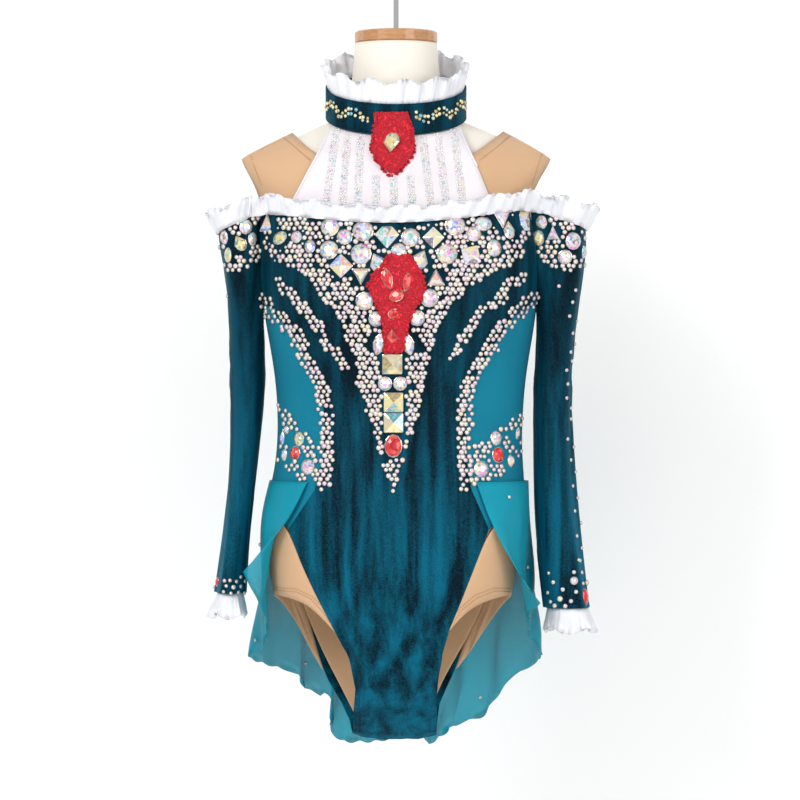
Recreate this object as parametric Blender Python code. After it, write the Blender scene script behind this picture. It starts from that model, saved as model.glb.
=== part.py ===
# Stage leotard on a limbless hanging dress form.
#
# Sizes are in millimetres. The origin is the inner top of the hook, where the whole
# thing hangs. A "drop" is a distance down from a level HOOK_RISE below the origin.
# -Y is the garment's front, +Z is up, and +X is on the right as seen from the front.
# Places on the body are (u, drop), where u is the angle round it: 0 at the front,
# positive towards +X, half a turn at the back.

import math

import bpy
import numpy as np

for old in list(bpy.data.objects):
    bpy.data.objects.remove(old, do_unlink=True)

# Driving sizes
MM = 0.001
HOOK_RISE = 55.0
SEAM = 0.25
VELVET = 1.2
STRETCH = 1.1
ORGANZA = 1.1
CHIFFON = 1.1
LACE = 2.2
COLLAR_WALL = 1.6
FORM_CLEARANCE = 3.4
FORM_BOTTOM = 583.0
ROD_RADIUS = 3.0
HOOK_RADIUS = 20.0
CROTCH = 737.0
TOP_HALF_WIDTH = 139.0
ARMPIT = 300.0
SIDE_FOOT = 529.0

# Body sections: drop, left half-width, right half-width, front depth, back depth, power
SECTIONS = (
    (39.5, 42, 42, 44, 44, 2.0),
    (84, 46, 46, 47, 48, 2.0),
    (100, 50, 50, 45, 52, 2.0),
    (112, 65, 65, 43, 60, 1.7),
    (120, 82, 84, 43, 66, 1.55),
    (129, 103, 108, 45, 70, 1.6),
    (142, 130, 134, 52, 76, 1.9),
    (156, 156, 156, 61, 82, 2.3),
    (175, 148, 147, 70, 86, 2.6),
    (190, 142, 141, 76, 88, 2.7),
    (212, 139, 138, 83, 90, 2.8),
    (250, 138, 145, 90, 91, 2.8),
    (300, 134, 142, 93, 90, 2.7),
    (340, 128, 137, 88, 86, 2.5),
    (370, 123, 132, 84, 82, 2.4),
    (400, 120, 129, 81, 80, 2.4),
    (430, 119.5, 127.5, 80, 82, 2.4),
    (460, 121, 127, 81.5, 86, 2.4),
    (490, 127, 132, 85, 91, 2.4),
    (510, 132, 131, 86, 94, 2.4),
    (555, 132, 125, 87, 97, 2.4),
    (595, 127, 120, 83, 96, 2.4),
    (620, 124, 116, 75, 91, 2.4),
    (660, 116, 110, 58, 75, 2.4),
    (700, 106, 104, 36, 50, 2.4),
    (725, 101, 101, 15, 24, 2.4),
    (737, 100, 100, 0.3, 0.3, 2.4),
)

# Front panel's edges, measured from the centre line: drop, left x, right x
FRONT_EDGES = (
    (212, -134, 133), (240, -135.5, 139), (270, -135, 141.5), (300, -132.5, 140.5),
    (310, -125, 124), (322, -112, 111), (331, -102, 103), (345, -95, 98),
    (358, -89, 88), (373, -82, 79), (398, -72, 69), (430, -70, 69), (465, -71, 69),
    (482, -75, 71), (505, -90, 82), (529, -106.5, 92), (553, -93, 86),
    (584, -77, 73), (605, -68.5, 64), (632, -60, 51.5), (653, -49, 47),
    (669, -43, 43), (691, -41, 41), (715, -43, 41), (737, -44, 41),
)

# Back panel's edges: drop, left x, right x
BACK_EDGES = (
    (212, -134, 133), (240, -135.5, 139), (270, -135, 141.5), (300, -132.5, 140.5),
    (331, -118, 124), (373, -100, 106), (430, -92, 98), (482, -98, 100),
    (529, -108, 104), (584, -92, 86), (632, -82, 70), (677, -75, 61),
    (700, -62, 48), (720, -50, 42), (737, -44, 41),
)

# Leg opening on the nude hip panels, from front seam to back seam: side of body
# (-1 front, 1 back), drop, left x, right x
LEG_EDGE = (
    (-1, 632, -60, 51.5),
    (-1, 615, -75, 64),
    (-1, 603, -86, 79),
    (-1, 597, -104, 98),
    (-1, 595, -123, 116),
    (1, 597, -123, 116),
    (1, 612, -108, 104),
    (1, 638, -97, 89),
    (1, 662, -84, 73),
    (1, 677, -75, 61),
)

# Large stones of the neckline, raised in the front panel: x, drop, width, height
STONES = (
    (-128, 222, 20, 18), (-116, 238, 18, 12), (-99.5, 237, 12, 12), (-86, 246, 11, 13),
    (-66, 227, 18, 18), (-67, 250, 18, 18), (-51, 237, 15, 15), (-33, 231, 20, 20),
    (-35, 254, 20, 20), (-9, 237, 24, 22), (3, 251, 15, 15), (-55, 266, 22, 22),
    (-35, 277, 18, 16), (14, 237, 18, 18), (37, 237, 22, 22), (51, 254, 20, 20),
    (59, 226, 20, 20), (78, 234, 15, 15), (87, 224, 18, 14), (75, 255, 18, 18),
    (106, 220, 20, 18), (98, 248, 15, 17), (113, 230, 13, 18), (127, 221, 16, 20),
    (40, 277, 18, 16),
)
STONE_RISE = 3.2
STONE_SPREAD = 0.6
STONE_TOP_FADE = 7.0
STONE_SIDE_LIMIT = 134.0
STONE_SIDE_FADE = 8.0
# The raised stones stop short of the chest applique, which starts at LACE_TOP
LACE_TOP = 246.0
LACE_CENTRE = 2.0
LACE_KEEP_OUT = 37.0

# Chest applique: drop, left x, right x
CHEST_LACE = (
    (256, -9, 15), (264, -14, 20), (275, -24, 26), (286, -28, 30), (297, -24, 27),
    (308, -18, 20), (325, -13, 12), (340, -12, 9), (353, -12, 6),
)
# Collar applique: drop, left x, right x
COLLAR_LACE = (
    (113, -22, 12), (122, -20, 15), (134, -23, 18), (150, -26, 19), (160, -21, 14),
    (168, -14, 6), (175, -7, 0),
)

# Sleeves: drop, outer x, inner x, depth, depth centre
SLEEVE_LEFT = (
    (212, 176, 138, 92, 0), (232, 179, 137, 94, 0), (269, 174, 136.5, 92, 3),
    (306, 170, 137.5, 88, 8), (358, 168, 131.5, 80, 12), (448, 166, 139, 74, 12),
    (553, 176, 151, 72, 10), (595, 182, 153, 70, 10),
)
SLEEVE_RIGHT = (
    (212, 182, 138, 92, 0), (232, 193, 142, 94, 0), (269, 190, 145, 92, 3),
    (316, 184, 145, 88, 8), (376, 176, 139.5, 80, 12), (448, 178, 140, 74, 12),
    (529, 185, 142, 72, 10), (610, 196, 151, 70, 10),
)

# Skirt hem from the -X front corner round the back to the +X one, as it looks from
# VIEW_DISTANCE in front at drop VIEW_DROP: x, drop, y
VIEW_DISTANCE = 4050.0
VIEW_DROP = 400.0
HEM = (
    (-156, 574, -58), (-147, 592, -54), (-134, 614, -34), (-131.5, 632, 0),
    (-134, 648, 38), (-150, 659, 76), (-128, 667, 104), (-103, 675, 112),
    (-90, 691, 126), (-65, 704, 122), (-62, 738, 136), (-45, 745, 130), (-11, 742, 140),
    (23, 731, 132), (34, 746, 140), (60, 727, 128), (90, 717, 132), (103, 695, 116),
    (134, 669, 104), (149, 657, 78), (136, 640, 40), (133.5, 622, 0), (137, 612, -36),
    (146, 606, -58),
)


def point(x, y, drop):
    """World point in metres from millimetre sizes."""
    return (x * MM, y * MM, -(drop + HOOK_RISE) * MM)


def smooth_table(table, at):
    """Read a table's other columns at a value of its first one, along smooth curves."""
    rows = np.array(table, dtype=float)
    key = rows[:, 0]
    slope = np.gradient(rows[:, 1:], key, axis=0)
    at = min(max(at, key[0]), key[-1])
    i = min(int(np.searchsorted(key, at, side="right")) - 1, len(key) - 2)
    h = key[i + 1] - key[i]
    t = (at - key[i]) / h
    a, b = rows[i, 1:], rows[i + 1, 1:]
    rise = b - a
    m0 = np.where(np.sign(slope[i]) == np.sign(rise), slope[i] * h, 0.0)
    m1 = np.where(np.sign(slope[i + 1]) == np.sign(rise), slope[i + 1] * h, 0.0)
    m0 = np.clip(m0, -3 * abs(rise), 3 * abs(rise))
    m1 = np.clip(m1, -3 * abs(rise), 3 * abs(rise))
    return ((1 + 2 * t) * (1 - t) ** 2 * a + t * (1 - t) ** 2 * m0
            + t * t * (3 - 2 * t) * b - t * t * (1 - t) * m1)


def straight_table(table, at):
    """The same with straight lines between the rows."""
    rows = np.array(table, dtype=float)
    return [float(np.interp(at, rows[:, 0], rows[:, k])) for k in range(1, rows.shape[1])]


def body(u, drop):
    """Body surface: u is 0 at the front, a quarter turn at the +X side, a half at the back."""
    left, right, front, back, power = smooth_table(SECTIONS, drop)
    s, c = math.sin(u), math.cos(u)
    wide = right if s > 0 else left
    deep = front if c > 0 else back
    x = math.copysign(wide * abs(s) ** (2 / power), s)
    y = -math.copysign(deep * abs(c) ** (2 / power), c)
    return np.array((x, y, -drop))


def body_normal(u, drop):
    """Outward direction of the body surface."""
    step = 0.02
    across = body(u + step, drop) - body(u - step, drop)
    low = min(drop + 1.5, CROTCH)
    down = body(u, low) - body(u, low - 3.0)
    n = np.cross(down, across)
    return n / max(np.linalg.norm(n), 1e-9)


def turn_at(x, drop, face):
    """Angle u of a point x from the centre line, on the front (-1) or the back (1)."""
    left, right, _, _, power = smooth_table(SECTIONS, drop)
    wide = right if x > 0 else left
    u = math.asin(min(abs(x) / wide, 1.0) ** (power / 2))
    if face > 0:
        u = math.pi - u
    return math.copysign(u, x)


def share(value):
    """A value kept between 0 and 1."""
    return min(max(value, 0.0), 1.0)


def lift(u, drop, out):
    """Point of the body surface moved out by a distance."""
    return body(u, drop) + body_normal(u, drop) * out


def material(name, rgb, rough, metal=0.0):
    found = bpy.data.materials.get(name)
    if found:
        return found
    made = bpy.data.materials.new(name)
    made.use_nodes = True
    shader = made.node_tree.nodes["Principled BSDF"]
    shader.inputs["Base Color"].default_value = (*rgb, 1.0)
    shader.inputs["Roughness"].default_value = rough
    shader.inputs["Metallic"].default_value = metal
    made.diffuse_color = (*rgb, 1.0)
    return made


def teal_velvet():
    return material("teal_velvet", (0.006, 0.085, 0.12), 0.6)


def turquoise_stretch():
    return material("turquoise_stretch", (0.0, 0.22, 0.33), 0.5)


def nude_stretch():
    return material("nude_stretch", (0.68, 0.43, 0.26), 0.6)


def white_organza():
    return material("white_organza", (0.85, 0.86, 0.88), 0.4)


def white_mesh():
    return material("white_mesh", (0.83, 0.82, 0.84), 0.6)


def turquoise_chiffon():
    return material("turquoise_chiffon", (0.0, 0.20, 0.27), 0.5)


def red_lace():
    return material("red_lace", (0.55, 0.01, 0.02), 0.6)


def gold_stone():
    return material("gold_stone", (0.85, 0.66, 0.30), 0.1)


def red_stone():
    return material("red_stone", (0.65, 0.0, 0.02), 0.08)


def linen():
    return material("form_linen", (0.82, 0.76, 0.66), 0.8)


def wood():
    return material("cap_wood", (0.45, 0.19, 0.07), 0.45)


def chrome():
    return material("hook_chrome", (0.75, 0.75, 0.77), 0.15, 1.0)


def mesh_object(name, verts, faces, mat, smooth_angle=50):
    """One closed body from points in millimetres (x, y, -drop), faces turned outwards."""
    mesh = bpy.data.meshes.new(name)
    mesh.from_pydata([point(x, y, -z) for x, y, z in verts], [], faces)
    corners = np.array(verts)
    volume = 0.0
    for face in faces:
        a = corners[face[0]]
        for b, c in zip(face[1:-1], face[2:]):
            volume += np.dot(a, np.cross(corners[b], corners[c]))
    if volume < 0:
        mesh.flip_normals()
    mesh.materials.append(mat)
    mesh.shade_smooth()
    mesh.set_sharp_from_angle(angle=math.radians(smooth_angle))
    made = bpy.data.objects.new(name, mesh)
    bpy.context.scene.collection.objects.link(made)
    return made


def wall(name, inner, outer, mat, closed=False, missing=()):
    """Thin wall between two grids of points, rows from top to bottom.

    A closed wall joins its last column to its first. Missing lists the grid's quads,
    as (row, column), that are left out; every free edge gets a rim.
    """
    inner, outer = np.array(inner), np.array(outer)
    rows, cols = inner.shape[:2]
    verts = np.concatenate((inner.reshape(-1, 3), outer.reshape(-1, 3)))
    size = rows * cols
    quads = []
    for j in range(rows - 1):
        for i in range(cols if closed else cols - 1):
            if (j, i) not in missing:
                k = (i + 1) % cols
                quads.append((j * cols + i, j * cols + k, (j + 1) * cols + k, (j + 1) * cols + i))
    edges = {(q[n], q[(n + 1) % 4]) for q in quads for n in range(4)}
    used = sorted({v for q in quads for v in q})
    order = {v: n for n, v in enumerate(used)}
    shift = len(used)
    faces = []
    for quad in quads:
        a, b, c, d = (order[v] for v in quad)
        faces.append((a, b, c, d))
        faces.append((shift + a, shift + d, shift + c, shift + b))
    for a, b in sorted(edges):
        if (b, a) not in edges:
            p, q = order[a], order[b]
            faces.append((q, p, shift + p, shift + q))
    kept = [verts[v].tolist() for v in used] + [verts[size + v].tolist() for v in used]
    return mesh_object(name, kept, faces, mat)


def trimmed(places, gap=SEAM):
    """Grid of body places (u, drop) with its border drawn in by the seam gap."""
    grid = np.array(places, dtype=float)

    def draw_in(edge, inside):
        for k in range(len(edge)):
            a, b = body(*edge[k]), body(*inside[k])
            reach = max(np.linalg.norm(b - a), 1e-6)
            edge[k] += (inside[k] - edge[k]) * min(gap / reach, 0.4)

    draw_in(grid[0], grid[1])
    draw_in(grid[-1], grid[-2])
    draw_in(grid[:, 0], grid[:, 1])
    draw_in(grid[:, -1], grid[:, -2])
    return grid


def panel(name, places, thick, mat, lift_by=None, start=0.0):
    """Cloth panel on the body: a wall of the given thickness over places (u, drop)."""
    grid = trimmed(places)
    inner = [[lift(u, d, start) for u, d in row] for row in grid]
    if lift_by is None:
        outer = [[lift(u, d, start + thick) for u, d in row] for row in grid]
    else:
        outer = [[lift(u, d, start + thick + lift_by(u, d)) for u, d in row] for row in grid]
    return wall(name, inner, outer, mat)


# Rows shared by the panels that meet at a seam
UPPER_ROWS = 11
SIDE_ROWS = (300.0, 316.0, 340.0, 370.0, 400.0, 430.0, 460.0, 490.0, 529.0)
HIP_STEPS = (0.0, 1 / 3, 2 / 3, 1.0)
CROTCH_ROWS = (0.25, 0.55, 0.82, 1.0)
FRONT_SEAM_END = 632.0
BACK_SEAM_END = 677.0
PANEL_COLUMNS = 30
BACK_COLUMNS = 16
SIDE_COLUMNS = 8
SIDE_ARCH = 24.0


def seam_turn(drop, side, face):
    """Angle of the front or back panel's edge; side is 0 at -X, 1 at +X."""
    table = FRONT_EDGES if face < 0 else BACK_EDGES
    end = FRONT_SEAM_END if face < 0 else BACK_SEAM_END

    def plain(at):
        return turn_at(straight_table(table, at)[side], at, face)

    if SIDE_FOOT < drop < end:
        share = (drop - SIDE_FOOT) / (end - SIDE_FOOT)
        return plain(SIDE_FOOT) * (1 - share) + plain(end) * share
    return plain(drop)


def turn_on(x, drop, face):
    """As turn_at, but running on past the middle of the back."""
    u = turn_at(x, drop, face)
    return u - 2 * math.pi if face > 0 and u > 0 else u


def top_edge(s):
    """Drop of the bodice's top edge, from the -X side to the +X side."""
    return 212.0 - 4.0 * s + 14.0 * math.sin(math.pi * s)


def bodice_places(face, columns, upper_rows):
    """Rows of places (u, drop) of the front or back panel, neckline to crotch."""
    end = FRONT_SEAM_END if face < 0 else BACK_SEAM_END
    rows = []
    for k in range(upper_rows + 1):
        v = k / upper_rows
        row = []
        for i in range(columns + 1):
            s = i / columns
            drop = top_edge(s) * (1 - v) + ARMPIT * v
            row.append(place_across(drop, s, face))
        rows.append(row)
    drops = list(SIDE_ROWS[1:])
    drops += [SIDE_FOOT + t * (end - SIDE_FOOT) for t in HIP_STEPS[1:]]
    drops += [end + t * (CROTCH - end) for t in CROTCH_ROWS]
    for drop in drops:
        rows.append([place_across(drop, i / columns, face) for i in range(columns + 1)])
    return rows


def place_across(drop, s, face):
    """Place at a share s of the way across a front or back panel at a drop."""
    a, b = seam_turn(drop, 0, face), seam_turn(drop, 1, face)
    if face > 0:
        b -= 2 * math.pi
        return (a * (1 - s) + b * s, drop)
    xa, xb = body(a, drop)[0], body(b, drop)[0]
    if s in (0.0, 1.0):
        return (b if s else a, drop)
    return (turn_at(xa * (1 - s) + xb * s, drop, face), drop)


def top_share(x):
    """How far across the bodice's top edge a point x is, 0 at -X and 1 at +X."""
    return share((x + TOP_HALF_WIDTH) / (2 * TOP_HALF_WIDTH))


def stone_rise(u, drop):
    """How far the large stones stand out of the velvet at a place."""
    x = body(u, drop)[0]
    rise = 0.0
    for centre_x, centre_drop, wide, high in STONES:
        across = (x - centre_x) / (STONE_SPREAD * wide)
        down = (drop - centre_drop) / (STONE_SPREAD * high)
        rise = max(rise, STONE_RISE * math.sqrt(max(0.0, 1 - across ** 2 - down ** 2)))
    from_edge = share((drop - top_edge(top_share(x))) / STONE_TOP_FADE)
    clear = 1.0
    if drop > LACE_TOP:
        clear = share((abs(x - LACE_CENTRE) - LACE_KEEP_OUT) / STONE_SIDE_FADE)
    seam = share((STONE_SIDE_LIMIT - abs(x)) / STONE_SIDE_FADE)
    return rise * from_edge * clear * seam


def front_panel():
    places = bodice_places(-1, PANEL_COLUMNS, UPPER_ROWS)
    panel("front_panel", places, VELVET, teal_velvet(), lift_by=stone_rise)


def back_panel():
    panel("back_panel", bodice_places(1, BACK_COLUMNS, SLEEVE_UPPER), VELVET, teal_velvet())


def side_foot(s):
    """Drop of a side panel's lower edge, from its front seam to its back seam."""
    return SIDE_FOOT - SIDE_ARCH * math.sin(math.pi * s)


def round_side(drop, s, side):
    """Angle a share s of the way from front seam to back seam on one side."""
    a, b = seam_turn(drop, side, -1), seam_turn(drop, side, 1)
    return a * (1 - s) + b * s


def side_panel(name, side):
    rows = []
    for drop in SIDE_ROWS:
        t = (drop - ARMPIT) / (SIDE_FOOT - ARMPIT)
        row = []
        for i in range(SIDE_COLUMNS + 1):
            s = i / SIDE_COLUMNS
            row.append((round_side(drop, s, side), ARMPIT + t * (side_foot(s) - ARMPIT)))
        rows.append(row)
    panel(name, rows, STRETCH, turquoise_stretch())


def leg_place(s, side):
    """Place of the leg opening's edge, from front seam to back seam."""
    at = s * (len(LEG_EDGE) - 1)
    k = min(int(at), len(LEG_EDGE) - 2)

    def one(row):
        face, drop = row[0], row[1]
        return np.array((turn_at(row[2 + side], drop, face), drop))

    return one(LEG_EDGE[k]) * (1 - at + k) + one(LEG_EDGE[k + 1]) * (at - k)


def hip_panel(name, side):
    rows = []
    for t in HIP_STEPS:
        row = []
        for i in range(SIDE_COLUMNS + 1):
            s = i / SIDE_COLUMNS
            top = np.array((round_side(SIDE_FOOT, s, side), side_foot(s)))
            row.append(tuple(top * (1 - t) + leg_place(s, side) * t))
        rows.append(row)
    panel(name, rows, STRETCH, nude_stretch())


LINING_DEPTH = 4.4
# Nude lining inside the seat: drop, left x, right x
LINING = (
    (590, -104, 97), (612, -98, 92), (638, -87, 79), (662, -76, 65), (680, -66, 54),
    (700, -55, 43), (722, -43, 36),
)
LINING_COLUMNS = 12


def seat_lining():
    rows = []
    for drop, left, right in LINING:
        a, b = turn_on(left, drop, 1), turn_on(right, drop, 1)
        shares = [i / LINING_COLUMNS for i in range(LINING_COLUMNS + 1)]
        rows.append([(a * (1 - s) + b * s, drop) for s in shares])
    panel("seat_lining", rows, STRETCH, nude_stretch(), start=-LINING_DEPTH)


# Neckline of the nude front and back: x, drop
NUDE_FRONT_TOP = (
    (-155, 157), (-130, 142.5), (-104, 130.5), (-96, 140), (-81, 154), (-56, 166),
    (-28, 172), (0, 174), (28, 172), (56, 166), (78, 154), (94, 141), (109, 129),
    (134, 142.5), (155, 157),
)
NUDE_BACK_TOP = (
    (-155, 157), (-130, 142.5), (-104, 130.5), (-92, 138), (-70, 150), (-36, 160),
    (0, 163), (36, 160), (70, 150), (94, 138), (109, 129), (134, 142.5), (155, 157),
)
NUDE_ROWS = 6
SHOULDER_SEAM_TURN = 4.0


def nude_panel(name, outline, face):
    """Nude shoulder piece from its neckline down to the bodice's top edge."""
    rows = []
    count = len(outline)
    for j in range(NUDE_ROWS + 1):
        t = j / NUDE_ROWS
        row = []
        for k, (x, drop) in enumerate(outline):
            s = k / (count - 1)
            seam = math.radians(SHOULDER_SEAM_TURN)
            u = turn_at(x, drop, face)
            quarter = math.pi / 2
            if face < 0:
                u = max(min(u, quarter - seam), -quarter + seam)
            else:
                u = u if u < 0 else u - 2 * math.pi
                u = min(max(u, -3 * quarter + seam), -quarter - seam)
            low = place_across(top_edge(s) - 0.1, s, face)
            row.append((u * (1 - t) + low[0] * t, drop * (1 - t) + low[1] * t))
        rows.append(row)
    panel(name, rows, STRETCH, nude_stretch())


# Collar ring
COLLAR_HALF_WIDTH = 70.0
COLLAR_FRONT = 62.0
COLLAR_BACK = 55.0
COLLAR_HEIGHT = 31.0
COLLAR_MID = 98.5
COLLAR_TILT = 0.355
COLLAR_SIDES = 48


def ellipse_ring(turn, wide, front, back):
    """Point x, y and outward direction of the collar's plan at an angle."""
    deep = front if math.cos(turn) > 0 else back
    x, y = wide * math.sin(turn), -deep * math.cos(turn)
    nx, ny = math.sin(turn) / wide, -math.cos(turn) / deep
    size = math.hypot(nx, ny)
    return x, y, nx / size, ny / size


def collar_point(turn, height, out):
    """Point of the collar: height is down from its middle line, out from its inner face."""
    x, y, nx, ny = ellipse_ring(turn, COLLAR_HALF_WIDTH, COLLAR_FRONT, COLLAR_BACK)
    drop = COLLAR_MID - COLLAR_TILT * y + height
    return np.array((x + nx * out, y + ny * out, -drop))


def collar_band():
    inner, outer = [], []
    for height in (-COLLAR_HEIGHT / 2, 0.0, COLLAR_HEIGHT / 2):
        turns = [2 * math.pi * i / COLLAR_SIDES for i in range(COLLAR_SIDES)]
        inner.append([collar_point(t, height, 0.0) for t in turns])
        outer.append([collar_point(t, height, COLLAR_WALL) for t in turns])
    wall("collar_band", inner, outer, teal_velvet(), closed=True)


# Yoke: collar angle and bodice x of its edges
YOKE_TURN = 66.0
YOKE_FOOT_LEFT = -110.0
YOKE_FOOT_RIGHT = 99.0
YOKE_COLUMNS = 12
YOKE_ROWS = 8
YOKE_GAP = 1.5
YOKE_SLACK = 0.4
YOKE_TOP_GAP = 1.2
YOKE_FOOT_GAP = 2.0


def front_depth(x, drop, out):
    """How far forward the body's front lies at x, with a distance added."""
    left, right, front, _, power = smooth_table(SECTIONS, drop)
    wide = (right if x > 0 else left) + out
    across = min(abs(x) / wide, 0.999)
    return (front + out) * (1 - across ** power) ** (1 / power)


def yoke_point(s, t, out):
    """Point of the yoke's inner face: s from -X to +X, t from collar to bodice."""
    turn = math.radians(YOKE_TURN * (2 * s - 1))
    top = collar_point(turn, COLLAR_HEIGHT / 2 + YOKE_TOP_GAP, 0.0)
    x = YOKE_FOOT_LEFT * (1 - s) + YOKE_FOOT_RIGHT * s
    foot_drop = top_edge(top_share(x)) - YOKE_FOOT_GAP
    foot = np.array((x, -front_depth(x, foot_drop, YOKE_GAP), -foot_drop))
    place = top * (1 - t) + foot * t
    rest = -front_depth(place[0], -place[2], YOKE_GAP + YOKE_SLACK)
    place[1] = min(place[1], rest)
    place[1] -= out
    return place


def yoke():
    inner, outer = [], []
    for j in range(YOKE_ROWS + 1):
        across = [i / YOKE_COLUMNS for i in range(YOKE_COLUMNS + 1)]
        inner.append([yoke_point(s, j / YOKE_ROWS, 0.0) for s in across])
        outer.append([yoke_point(s, j / YOKE_ROWS, STRETCH) for s in across])
    wall("yoke", inner, outer, white_mesh())


COLLAR_LACE_SLOPE = 0.34
COLLAR_LACE_BEND = 134.0
COLLAR_LACE_REST = 1.8
LACE_LIFT = 0.5
LACE_COLUMNS = 8


def collar_lace_depth(drop):
    """How far forward the red lace's inner face lies at its middle."""
    below = max(drop - COLLAR_LACE_BEND, 0.0)
    return -COLLAR_FRONT - COLLAR_WALL + COLLAR_LACE_REST - below * COLLAR_LACE_SLOPE


def collar_applique():
    """Red lace lying over the collar's front and the top of the yoke."""
    inner, outer = [], []
    for drop, left, right in COLLAR_LACE:
        row_in, row_out = [], []
        for i in range(LACE_COLUMNS + 1):
            x = left + (right - left) * i / LACE_COLUMNS
            y = -COLLAR_FRONT * math.sqrt(1 - (x / COLLAR_HALF_WIDTH) ** 2) - COLLAR_WALL
            y = min(y, -front_depth(x, drop, YOKE_GAP) - STRETCH)
            y = min(y - LACE_LIFT, collar_lace_depth(drop))
            row_in.append(np.array((x, y, -drop)))
            row_out.append(np.array((x, y - LACE, -drop)))
        inner.append(row_in)
        outer.append(row_out)
    wall("collar_applique", inner, outer, red_lace())


def chest_applique():
    """Red lace on the velvet, its points taken from the panel and moved out."""
    rows = []
    for drop, left, right in CHEST_LACE:
        step = (right - left) / LACE_COLUMNS
        turns = [turn_at(left + step * i, drop, -1) for i in range(LACE_COLUMNS + 1)]
        rows.append([(u, drop) for u in turns])
    panel("chest_applique", rows, LACE, red_lace(), start=VELVET + LACE_LIFT)


# Sleeves
SLEEVE_POWER = 2.6
SLEEVE_OUTER = 15
SLEEVE_INNER = 6
SLEEVE_UPPER = 4
SLEEVE_LOWER = 7
SLEEVE_SEAM_TURN = math.radians(138)
SLEEVE_RIM_DIP = 20.0
FOLD_DEPTH = 1.6
ARMHOLE_GAP = 1.4
ARMPIT_STEP = 1.0


def sleeve_tube(table, side, turn, drop):
    """Middle surface of a sleeve; turn is 0 on the outer side, half a turn inside."""
    outer_x, inner_x, depth, mid_y = smooth_table(table, drop)
    half = (outer_x - inner_x) / 2
    c, s = math.cos(turn), math.sin(turn)
    fold = FOLD_DEPTH * math.sin(5 * turn + drop / 70) * max(c, 0.0)
    out = (half + fold) * math.copysign(abs(c) ** (2 / SLEEVE_POWER), c)
    y = mid_y - (depth / 2 + fold) * math.copysign(abs(s) ** (2 / SLEEVE_POWER), s)
    return np.array((side * ((outer_x + inner_x) / 2 + out), y, -drop))


def sleeve_normal(table, side, turn, drop):
    """Outward direction of a sleeve, level."""
    outer_x, inner_x, depth, _ = smooth_table(table, drop)
    c, s = math.cos(turn), math.sin(turn)
    power = 2 - 2 / SLEEVE_POWER
    x = side * math.copysign(abs(c) ** power, c) / (outer_x - inner_x)
    y = -math.copysign(abs(s) ** power, s) / depth
    return np.array((x, y, 0.0)) / math.hypot(x, y)


def sleeve_rim(turn, side):
    """Drop of the sleeve's top rim, lowest on its outer side."""
    shape = max(math.cos(turn / SLEEVE_SEAM_TURN * math.pi / 2), 0.0)
    return top_edge(1 if side > 0 else 0) + SLEEVE_RIM_DIP * shape


def armhole_edge(drop, side, face):
    """Point of the sleeve just past the armhole's front (-1) or back (1) edge."""
    which = 1 if side > 0 else 0
    place = lift(seam_turn(drop, which, face), drop, VELVET / 2)
    place[0] += side * ARMHOLE_GAP
    return place


def armpit_point(s, side):
    """Point of the sleeve under the arm, from its front (0) to its back (1)."""
    which = 1 if side > 0 else 0
    place = lift(round_side(ARMPIT, s, which), ARMPIT, VELVET / 2 + ARMPIT_STEP)
    place[0] += side * ARMHOLE_GAP * 0.6
    return place


def wall_about(name, middle, thick, mat, closed):
    """Wall whose middle surface is a grid of points."""
    grid = np.array(middle)
    if closed:
        across = np.roll(grid, -1, axis=1) - np.roll(grid, 1, axis=1)
    else:
        across = np.gradient(grid, axis=1)
    down = np.gradient(grid, axis=0)
    normal = np.cross(across, down)
    normal /= np.maximum(np.linalg.norm(normal, axis=2, keepdims=True), 1e-9)
    half = normal * thick / 2
    return wall(name, grid - half, grid + half, mat, closed)


def sleeve_grid(table, side):
    """Sleeve's middle surface and its outward directions.

    Outer columns run from the front of the armhole round to its back. The inner
    columns start under the arm, so their first rows have no cloth.
    """
    cuff = table[-1][0]
    turns = [SLEEVE_SEAM_TURN * (1 - 2 * i / SLEEVE_OUTER) for i in range(SLEEVE_OUTER + 1)]
    inner_turn = 2 * (math.pi - SLEEVE_SEAM_TURN)
    for i in range(1, SLEEVE_INNER + 1):
        turns.append(-SLEEVE_SEAM_TURN - inner_turn * i / (SLEEVE_INNER + 1))
    rows, normals = [], []
    for j in range(SLEEVE_UPPER + SLEEVE_LOWER + 1):
        row, ways = [], []
        for i, turn in enumerate(turns):
            if j <= SLEEVE_UPPER:
                rim = sleeve_rim(turn, side)
                drop = rim + (ARMPIT - rim) * j / SLEEVE_UPPER
            else:
                drop = ARMPIT + (cuff - ARMPIT) * (j - SLEEVE_UPPER) / SLEEVE_LOWER
            place = sleeve_tube(table, side, turn, drop)
            hold = max(1 - (j - SLEEVE_UPPER) / 2, 0.0) ** 2 if j > SLEEVE_UPPER else 1.0
            target = place
            if i in (0, SLEEVE_OUTER):
                target = armhole_edge(min(drop, ARMPIT), side, -1 if i == 0 else 1)
            elif i > SLEEVE_OUTER:
                target = armpit_point(1 - (i - SLEEVE_OUTER) / (SLEEVE_INNER + 1), side)
            place = place * (1 - hold) + target * hold
            place[2] = -drop
            row.append(place)
            ways.append(sleeve_normal(table, side, turn, drop))
        rows.append(row)
        normals.append(ways)
    return np.array(rows), np.array(normals)


def sleeve(name, table, side):
    middle, normals = sleeve_grid(table, side)
    half = normals * VELVET / 2
    columns = SLEEVE_OUTER + SLEEVE_INNER + 1
    open_part = {(j, i) for j in range(SLEEVE_UPPER) for i in range(SLEEVE_OUTER, columns)}
    wall(name, middle - half, middle + half, teal_velvet(), closed=True, missing=open_part)


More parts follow.
